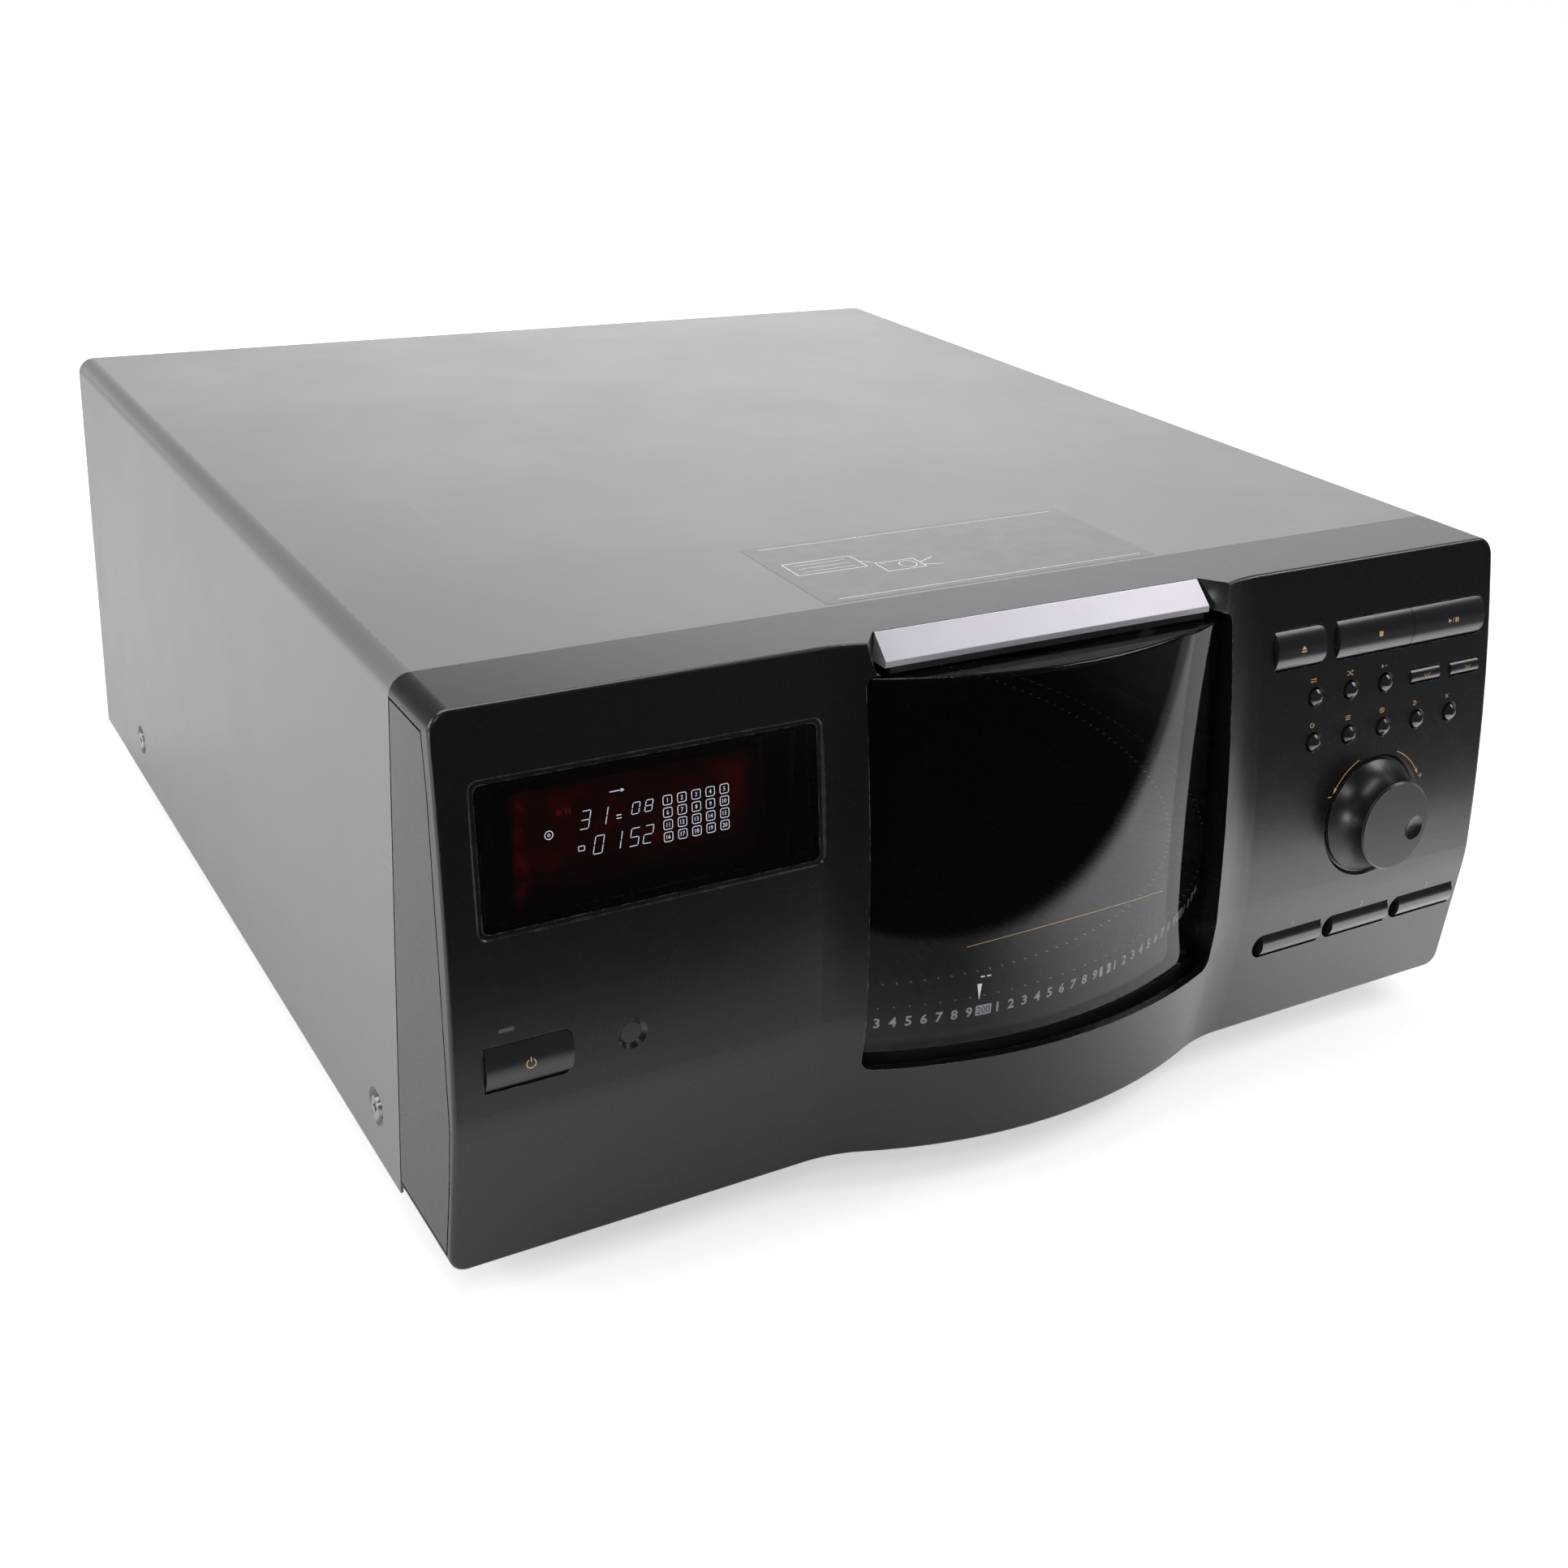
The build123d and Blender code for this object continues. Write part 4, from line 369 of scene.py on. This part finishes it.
# ------------------------------------------------------------------ flat shapes of the printed marks
# A shape is a list of points (across, up) in millimetres and a list of faces.
def band(points, width, closed=False):
    """Strip of even width along the points."""
    count = len(points)
    after = [(index + 1) % count if closed else min(index + 1, count - 1) for index in range(count)]
    before = [index - 1 if closed else max(index - 1, 0) for index in range(count)]
    sides = []
    for index in range(count):
        run = (Vector(points[after[index]]) - Vector(points[before[index]])).normalized()
        across = Vector((-run.y, run.x)) * width / 2
        sides += [Vector(points[index]) + across, Vector(points[index]) - across]
    steps = range(count if closed else count - 1)
    return sides, [(2 * i, 2 * i + 1, 2 * after[i] + 1, 2 * after[i]) for i in steps]


def plate(points):
    """Filled convex outline, its points anticlockwise."""
    return [Vector(point) for point in points], [tuple(range(len(points)))]


def arc(radius, start, end, centre=(0.0, 0.0), steps=16):
    """Points on a circle between two angles in degrees."""
    angles = [math.radians(start + (end - start) * step / steps) for step in range(steps + 1)]
    return [(centre[0] + radius * math.cos(angle), centre[1] + radius * math.sin(angle)) for angle in angles]


def rounded(width, height, corner):
    """Points of a rectangle with round corners."""
    points = []
    for index, (side, rise) in enumerate(((1, 1), (-1, 1), (-1, -1), (1, -1))):
        centre = (side * (width / 2 - corner), rise * (height / 2 - corner))
        points += arc(corner, 90 * index, 90 * index + 90, centre, 3)
    return points


def box(width, height, at=(0.0, 0.0)):
    half, rise = width / 2, height / 2
    return plate([(at[0] + x, at[1] + y) for x, y in ((-half, -rise), (half, -rise), (half, rise), (-half, rise))])


def triangle(width, height, at=(0.0, 0.0), turn=0):
    """Triangle pointing right, turned by quarter turns."""
    points = [Vector((-width / 2, -height / 2)), Vector((width / 2, 0)), Vector((-width / 2, height / 2))]
    return plate([Vector(at) + Matrix.Rotation(math.radians(90 * turn), 2) @ point for point in points])


def moved(shape, across, up):
    return [point + Vector((across, up)) for point in shape[0]], shape[1]


def figure(text, height, stretch=1.0, bold=0.0):
    """A number in Blender's own plain font, its middle at the origin."""
    curve = bpy.data.curves.new("figure", "FONT")
    curve.body, curve.resolution_u, curve.offset = text, 2, bold
    holder = bpy.data.objects.new("figure", curve)
    mesh = bpy.data.meshes.new_from_object(holder)
    points = [vertex.co.to_2d() for vertex in mesh.vertices]
    faces = [tuple(face.vertices) for face in mesh.polygons]
    bpy.data.objects.remove(holder)
    bpy.data.curves.remove(curve)
    bpy.data.meshes.remove(mesh)
    left, right_end = min(p.x for p in points), max(p.x for p in points)
    foot, head = min(p.y for p in points), max(p.y for p in points)
    scale = height / (head - foot)
    middle = Vector(((left + right_end) / 2, (foot + head) / 2))
    points = [Vector(((p.x - middle.x) * scale * stretch, (p.y - middle.y) * scale)) for p in points]
    turned = []
    for face in faces:
        a, b, c = (points[index] for index in face[:3])
        turned.append(face if (b - a).cross(c - a) > 0 else face[::-1])
    return points, turned


SEGMENTS = {"a": ((0, 2), (1, 2)), "b": ((1, 2), (1, 1)), "c": ((1, 1), (1, 0)), "d": ((0, 0), (1, 0)),
            "e": ((0, 0), (0, 1)), "f": ((0, 1), (0, 2)), "g": ((0, 1), (1, 1))}
LIT = {"0": "abcdef", "1": "bc", "2": "abged", "3": "abgcd", "4": "fgbc", "5": "afgcd", "6": "afgedc", "8": "abcdefg"}


def seven(digit, width, height, stroke=0.24, lean=0.2):
    """Slanted seven segment digit as one strip per lit segment."""
    shapes = []
    for letter in LIT[digit]:
        ends = [Vector(((x - 0.5) * width, (y - 1) * height / 2)) for x, y in SEGMENTS[letter]]
        gap = (ends[1] - ends[0]).normalized() * stroke * 0.75
        ends = [ends[0] + gap, ends[1] - gap]
        shapes.append(band([(end.x + lean * end.y, end.y) for end in ends], stroke))
    return shapes


# ------------------------------------------------------------------ laying the marks on their pieces
REACH = 30.0                # rays start this far above a surface
RIM_REACH = 8.0             # and this far outside the number band
FRONT_Y = -330.0            # and here, ahead of the whole front, for the door


def ray_target(*names):
    joined = bmesh.new()
    for name in names:
        joined.from_mesh(nodes[name].data)
    target = BVHTree.FromBMesh(joined)
    joined.free()
    return target


def on_face(x, z):
    """Marks on the front, centred on a place of the panel's face."""
    origin, side, up, out = face_frame(x, z)
    return lambda u, v: (origin + side * u + up * v + out * REACH, out)


def on_rim(angle, z):
    """Marks on the disc ring's number band, by their angle to the right of the front."""
    turn = math.radians(angle)
    out = Vector((math.sin(turn), -math.cos(turn), 0))
    side = Vector((math.cos(turn), math.sin(turn), 0))
    origin = Vector((AXIS_X, AXIS_Y, z)) + out * (RIM + RIM_REACH)
    return lambda u, v: (origin + side * u + Vector((0, 0, v)), out)


def level_front(x, z):
    """Marks on the sliding door, seen straight from the front."""
    return lambda u, v: (Vector((x + u, FRONT_Y, z + v)), Vector((0, -1, 0)))


def on_top(x, y):
    return lambda u, v: (Vector((x + u, y + v, TOP + REACH)), Vector((0, 0, 1)))


def add_mark(made, shape, spot, target, lift, bury):
    """One flat shape as a thin closed solid on the target."""
    points, faces = shape
    tops, feet, rim_edges = [], [], set()
    for point in points:
        start, out = spot(point[0], point[1])
        hit = target.ray_cast(start * MM, -out)[0]
        if hit is None:
            raise RuntimeError(f"a mark misses what carries it near {tuple(start)}")
        tops.append(made.verts.new(hit + out * lift * MM))
        feet.append(made.verts.new(hit - out * bury * MM))
    for face in faces:
        made.faces.new([tops[index] for index in face])
        made.faces.new([feet[index] for index in reversed(face)])
        for pair in zip(face, face[1:] + face[:1]):
            if pair[::-1] in rim_edges:
                rim_edges.remove(pair[::-1])
            else:
                rim_edges.add(pair)
    for first, second in sorted(rim_edges):
        made.faces.new((tops[second], tops[first], feet[first], feet[second]))


def print_marks(name, marks, body, finish, lift=0.04, bury=0.02):
    """All the marks, each (shape, spot, target), as one piece that rides on a body."""
    made = bmesh.new()
    for shape, spot, target in marks:
        add_mark(made, shape, spot, target, lift, bury)
    mesh = bpy.data.meshes.new(name)
    made.to_mesh(mesh)
    made.free()
    mesh.materials.append(finish)
    piece = bpy.data.objects.new(name, mesh)
    bpy.context.scene.collection.objects.link(piece)
    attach(piece, body)


panel = ray_target("front_panel")

# symbols on the caps
CAP_SYMBOLS = {
    "power_button": (-193.2, 88.2, [band(arc(1.5, 120, 420), 0.32), box(0.32, 1.7, (0, 1.3))]),
    "open_close_button": (115.6, 169.6, [triangle(1.5, 2.4, (0, 0.5), 1), box(2.4, 0.55, (0, -0.95))]),
    "stop_button": (155.1, 169.7, [box(1.9, 1.9)]),
    "play_button": (194.3, 169.6, [triangle(1.5, 1.7, (-1.9, 0)), band([(-0.5, -0.9), (0.3, 0.9)], 0.22),
                                   box(0.6, 1.8, (1.3, 0)), box(0.6, 1.8, (2.3, 0))]),
    "skip_back_button": (182.2, 149.8, [box(0.35, 1.6, (-1.9, 0)), triangle(1.4, 1.6, (-0.9, 0), 2),
                                        triangle(1.4, 1.6, (0.5, 0), 2), box(0.35, 1.6, (1.4, 0))]),
    "skip_forward_button": (204.2, 149.8, [box(0.35, 1.6, (-1.4, 0)), triangle(1.4, 1.6, (-0.5, 0)),
                                           triangle(1.4, 1.6, (0.9, 0)), box(0.35, 1.6, (1.9, 0))]),
}
for node_name, (x, z, shapes) in CAP_SYMBOLS.items():
    target = ray_target(node_name)
    spot = on_face(x, z)
    print_marks(node_name + "_symbol", [(shape, spot, target) for shape in shapes], node_name, gold_ink)

# small symbols above the round buttons, and numbers above the three bars
loop = [band(arc(0.85, 60, 360), 0.22), triangle(0.7, 0.9, (0.85, 0.15), 1)]
swap = [band([(-1.4, 0.45), (0.8, 0.45)], 0.22), triangle(0.7, 0.8, (1.1, 0.45)),
        band([(1.4, -0.45), (-0.8, -0.45)], 0.22), triangle(0.7, 0.8, (-1.1, -0.45), 2)]
cross_over = [band([(-1.5, -0.7), (-0.7, -0.7), (0.7, 0.7), (1.0, 0.7)], 0.22), triangle(0.6, 0.8, (1.3, 0.7)),
              band([(-1.5, 0.7), (-0.7, 0.7), (0.7, -0.7), (1.0, -0.7)], 0.22), triangle(0.6, 0.8, (1.3, -0.7))]
first_part = [triangle(1.1, 1.3, (-0.7, 0)), band([(0.5, 0), (1.6, 0)], 0.22)]
order = [box(2.4, 0.24, (0, up)) for up in (0.7, 0, -0.7)]
keep = [band(rounded(2.0, 1.6, 0.35), 0.22, True), box(0.7, 0.5)]
recall = [band(arc(0.85, -150, 150), 0.22), box(0.24, 0.9, (0, 0.2))]
drop = [band([(-0.7, -0.7), (0.7, 0.7)], 0.24), band([(-0.7, 0.7), (-0.12, 0.12)], 0.24),
        band([(0.12, -0.12), (0.7, -0.7)], 0.24)]
marks = []
for places, z, symbols in (((122.5, 141.3, 159.2), 156.6, (swap, cross_over, first_part)),
                           ((122.7, 141.2, 159.2, 176.8, 194.8), 139.5, (loop, order, keep, recall, drop))):
    for x, shapes in zip(places, symbols):
        marks += [(shape, on_face(x, z), panel) for shape in shapes]
for index in range(3):
    marks.append((figure(str(index + 1), 2.2), on_face(124.0 + 36.7 * index, 58.9), panel))

# arrows around the dial, plus and minus at their ends
ARROW = 26.0                # radius of the arrows' line
SIGN_X, SIGN_Z = 24.4, 11.6
for side, turns in ((1, (67, 35)), (-1, (113, 145))):
    spot = on_face(DIAL_X + 0.6, DIAL_Z + 0.3)
    marks.append((band(arc(ARROW, *turns), 0.28), spot, panel))
    tip = math.radians(turns[1] - side * 3.5)
    way = Vector((side * math.sin(tip), -side * math.cos(tip)))
    middle = Vector((math.cos(tip), math.sin(tip))) * ARROW
    across = Vector((-way.y, way.x)) * 0.65
    marks.append((plate([middle + across - way * 1.3, middle - across - way * 1.3, middle + way * 1.3]), spot, panel))
    centre = (side * SIGN_X, SIGN_Z)
    marks.append((box(1.9, 0.3, centre), spot, panel))
    if side > 0:
        marks += [(box(0.3, 0.8, (centre[0], centre[1] + rise)), spot, panel) for rise in (0.55, -0.55)]
print_marks("panel_symbols", marks, "case", gold_ink)

# hairline and pointer on the sliding door
door = ray_target("door_window")
LINE_HALF, LINE_BOW, LINE_STEPS = 44.0, 3.0, 12
hairline = [(LINE_HALF * step / LINE_STEPS, LINE_BOW * (1 - (step / LINE_STEPS) ** 2))
            for step in range(-LINE_STEPS, LINE_STEPS + 1)]
print_marks("door_hairline", [(band(hairline, 0.14), level_front(8.0, 90.1), door)], "door", gold_ink)
pointer = [plate([(0, -3.0), (0.85, 3.0), (-0.85, 3.0)])]
pointer += [box(1.5, 0.45, (across, 5.6)) for across in (1.0, 3.4)]
print_marks("door_pointer", [(shape, level_front(-30.6, 72.6), door) for shape in pointer], "door",
            pale_ink)

# numbers round the disc ring: nine figures and a block for each ten, printed in an ink that glows faintly as painted
# light
ring = ray_target("carousel")
DISCS = 200
DISC_TURN = 1.8             # degrees from one disc to the next
figures = [figure(str(digit), 3.9, 1.05, 0.02) for digit in range(10)]
block = plate(rounded(6.4, 4.1, 0.5))
numbers, tens = [], []
for place in range(DISCS):
    spot = on_rim(-6.4 + DISC_TURN * (place + 1), 54.6)
    if place % 10 == 9:
        numbers.append((block, spot, ring))
        label = str(place + 1)
        tens.append((figure(label, 2.8, 0.9), spot, ring))
    else:
        numbers.append((figures[place % 10 + 1], spot, ring))
print_marks("ring_numbers", numbers, "carousel", ring_ink_painted_glow)
print_marks("ring_tens", tens, "carousel", dark_ink, lift=0.07)

# painted highlights: small pale marks that glow faintly, on the tips of the disc ring's outer comb teeth and on its rim
painted_glint_marks = []
for tooth in range(DISCS):
    turn = math.radians(DISC_TURN * tooth + DISC_TURN / 2)
    for radius, size in ((168.0, (0.55, 1.1)), (182.2, (0.6, 0.7))):
        centre = Vector((AXIS_X + radius * math.sin(turn), AXIS_Y - radius * math.cos(turn)))
        corners = [Matrix.Rotation(turn, 2) @ (Vector((x, y)) * 0.5) + centre
                   for x, y in ((-size[0], -size[1]), (size[0], -size[1]), (size[0], size[1]), (-size[0], size[1]))]
        painted_glint_marks.append((plate(corners), on_top(0.0, 0.0), ring))
print_marks("ring_painted_glints", painted_glint_marks, "carousel", glint_glow_ink)

# the display: a dim red tube face, digits, and twenty numbered squares
tube = ray_target("display_tube")
spot = on_face(-152.0, 151.0)
print_marks("display_glow", [(box(83.0, 38.0), spot, tube)], "case", tube_glow(), lift=0.05)
lit = []
for digit, x, z, width, height in (("3", -168.8, 157.5, 2.9, 5.6), ("1", -163.1, 157.5, 2.9, 5.6),
                                   ("0", -152.0, 158.0, 2.4, 3.6), ("8", -147.6, 158.0, 2.4, 3.6),
                                   ("0", -164.7, 148.9, 2.9, 5.6), ("1", -158.7, 148.9, 2.9, 5.6),
                                   ("5", -152.7, 148.9, 2.9, 5.6), ("2", -148.1, 148.9, 2.9, 5.6)):
    lit += [(shape, on_face(x, z), tube) for shape in seven(digit, width, height)]
frame_line = band(rounded(3.0, 3.0, 0.6), 0.24, True)
GRID_X, GRID_Z = -141.3, 158.5
GRID_ACROSS, GRID_DOWN = 4.93, 3.95
for row in range(4):
    for column in range(5):
        spot = on_face(GRID_X + GRID_ACROSS * column, GRID_Z - GRID_DOWN * row)
        lit.append((frame_line, spot, tube))
        lit.append((figure(str(row * 5 + column + 1), 1.4, 0.9), spot, tube))
disc_sign = [band(arc(1.3, 0, 360, steps=20)[:-1], 0.26, True), band(arc(0.4, 0, 360, steps=8)[:-1], 0.2, True)]
next_sign = [band([(-2.4, 0), (1.2, 0)], 0.26), triangle(1.1, 1.3, (1.9, 0))]
pair_sign = [box(1.6, 0.3, (0, up)) for up in (0.5, -0.5)]
card_sign = [band(rounded(2.0, 1.5, 0.3), 0.24, True)]
for shapes, x, z in ((disc_sign, -180.7, 155.0), (next_sign, -158.1, 164.6), (pair_sign, -157.7, 156.4),
                     (card_sign, -170.4, 148.8)):
    lit += [(shape, on_face(x, z), tube) for shape in shapes]
print_marks("display_segments", lit, "case", segment_light, lift=0.10)
ghosts = [triangle(1.6, 1.9, (-1.6, 0)), box(0.6, 1.9, (0.6, 0)), box(0.6, 1.9, (1.8, 0))]
print_marks("display_ghosts", [(shape, on_face(-175.5, 161.4), tube) for shape in ghosts], "case",
            ghost_light, lift=0.10)

# grey film on the cover with a plain line drawing
cover = ray_target("top_cover")
FILM_X, FILM_Y = 4.5, -149.7
print_marks("cover_film", [(plate(rounded(141.0, 60.0, 1.5)), on_top(FILM_X, FILM_Y), cover)], "case",
            film, lift=0.06)
frame_box = band(rounded(28.0, 12.0, 0.4), 0.35, True)
drawing = [moved(frame_box, -50.5, 4.0), moved(band(rounded(16.0, 9.0, 0.4), 0.35, True), -24.5, -5.0),
           moved(band(arc(3.2, 0, 360, steps=24)[:-1], 0.3, True), -21.5, -5.0),
           band([(-36.3, 4.0), (-29.5, -2.0)], 0.3), band([(-16.3, -5.0), (-9.0, -1.5)], 0.3),
           band([(-16.3, -7.5), (-9.0, -9.5)], 0.3)]
drawing += [band([(-61.0, 4.0 + rise), (-40.0, 4.0 + rise)], 0.25) for rise in (3.4, 0.0, -3.4)]
drawing += [band([(-64.0, 27.0 * side), (66.0, 27.0 * side)], 0.3) for side in (1, -1)]
print_marks("cover_drawing", [(shape, on_top(FILM_X, FILM_Y), cover) for shape in drawing], "case",
            line_ink, lift=0.09, bury=-0.04)

# ------------------------------------------------------------------ floor and light
floor_mesh = bpy.data.meshes.new("floor")
span = 9.0
floor_mesh.from_pydata([(-span, -span, 0), (span, -span, 0), (span, span, 0), (-span, span, 0)], [], [(0, 1, 2, 3)])
floor = bpy.data.objects.new("floor", floor_mesh)
bpy.context.scene.collection.objects.link(floor)
paper, n = new_material("paper")
rays = n.add("ShaderNodeLightPath")
grain = n.noise(60.0, 3.0, 0.6)
pale = n.mix(n.spread(grain, 0.3, 0.7), rgb(0.86), rgb(0.88))
where = n.add("ShaderNodeSeparateXYZ", {0: n.add("ShaderNodeNewGeometry").outputs["Position"]}).outputs
away = n.add("ShaderNodeVectorMath", {0: n.add("ShaderNodeNewGeometry").outputs["Position"]}, operation="LENGTH")
# what gloss sees: a little in front of the object and on its front left the sheet is painted near black, a painted
# shade standing in for a dark room, and on the right it glows as painted light
edge_line = n.math("SUBTRACT", where["Y"], n.math("MULTIPLY", where["X"], 0.09))
beyond = n.spread(edge_line, -0.470, -0.440, 1.0, 0.0)
far_right = n.spread(where["X"], 0.35, 0.80, 1.0, 0.85)
front_left = n.math("MULTIPLY", n.spread(edge_line, -0.45, -0.26, 0.75, 0.0), n.spread(where["X"], 0.0, 0.20, 1.0, 0.0))
unlit = n.math("MAXIMUM", n.math("MULTIPLY", beyond, far_right), front_left)
unlit = n.math("MULTIPLY", unlit, rays.outputs["Is Glossy Ray"])
sheet = n.add("ShaderNodeBsdfDiffuse", {"Color": n.mix(unlit, pale, rgb(0.02))}).outputs[0]
seen = n.math("MULTIPLY", rays.outputs["Is Camera Ray"], n.spread(away.outputs["Value"], 0.4, 1.3, 0.52, 0.95))
# painted light: emission seen only by glossy rays, strongest on the right
right_glow = n.math("MULTIPLY", n.spread(where["X"], -0.02, 0.22), n.spread(where["X"], 0.30, 0.50, 1.3, 0.5))
right_glow = n.math("MULTIPLY", right_glow, n.math("SUBTRACT", 1.0, beyond))
mirrored = n.math("MULTIPLY", rays.outputs["Is Glossy Ray"], right_glow)
lift = n.add("ShaderNodeEmission", {"Color": rgb(1.0), "Strength": n.math("ADD", seen, mirrored)}).outputs[0]
n.surface(n.add("ShaderNodeAddShader", {0: sheet, 1: lift}).outputs[0])
floor.data.materials.append(paper)

world = bpy.data.worlds.new("studio")
bpy.context.scene.world = world
world.use_nodes = True
n = Nodes(world.node_tree)
rays = n.add("ShaderNodeLightPath")
toward = n.add("ShaderNodeSeparateXYZ", {0: n.add("ShaderNodeTexCoord").outputs["Generated"]}).outputs
behind = n.spread(toward["Y"], -0.30, 0.25)
# the bright wall behind reaches higher on the right than on the left
wall_top = n.math("SUBTRACT", toward["Z"], n.math("MULTIPLY", toward["X"], 0.45))
wall = n.math("MULTIPLY", behind, n.spread(wall_top, 0.155, 0.235, 1.0, 0.10))
bright = n.math("MULTIPLY", wall, n.spread(toward["X"], 0.45, 0.85, 1.88, 1.08))
mirror = n.add("ShaderNodeBackground", {"Color": rgb(1.0, 0.985, 1.01),
                                        "Strength": n.math("MAXIMUM", bright, 0.04)}).outputs[0]
fill = n.add("ShaderNodeBackground", {"Color": rgb(0.98, 0.98, 1.0), "Strength": 0.50}).outputs[0]
white = n.add("ShaderNodeBackground", {"Color": rgb(1.0), "Strength": 1.0}).outputs[0]
shown = n.math("MAXIMUM", rays.outputs["Is Camera Ray"], rays.outputs["Is Transmission Ray"])
lit = n.add("ShaderNodeMixShader", {0: rays.outputs["Is Glossy Ray"], 1: fill, 2: mirror}).outputs[0]
both = n.add("ShaderNodeMixShader", {0: shown, 1: lit, 2: white}).outputs[0]
n.add("ShaderNodeOutputWorld", {"Surface": both})


def softbox(name, place, target, size, power, tint=(1.0, 1.0, 1.0)):
    lamp = bpy.data.lights.new(name, "AREA")
    lamp.shape, lamp.size, lamp.size_y = "RECTANGLE", size[0], size[1]
    lamp.energy, lamp.color = power, tint
    made = bpy.data.objects.new(name, lamp)
    bpy.context.scene.collection.objects.link(made)
    made.location = place
    made.rotation_mode = "QUATERNION"
    made.rotation_quaternion = (Vector(target) - Vector(place)).to_track_quat("-Z", "Y")


softbox("lamp_top", (0.0, 0.5, 1.9), (0.0, 0.0, 0.1), (1.6, 1.2), 22.0)
softbox("lamp_left", (-1.7, 0.4, 0.9), (-0.1, 0.0, 0.1), (1.2, 0.9), 13.0)
softbox("lamp_right", (1.5, -0.7, 1.6), (0.1, -0.1, 0.1), (0.8, 0.8), 9.0)
softbox("lamp_front", (-0.9, -1.3, 1.5), (0.0, -0.1, 0.1), (0.30, 0.30), 3.0)
softbox("lamp_low", (-1.5, -0.62, 0.20), (0.1, -0.2, 0.09), (0.40, 0.30), 3.6)
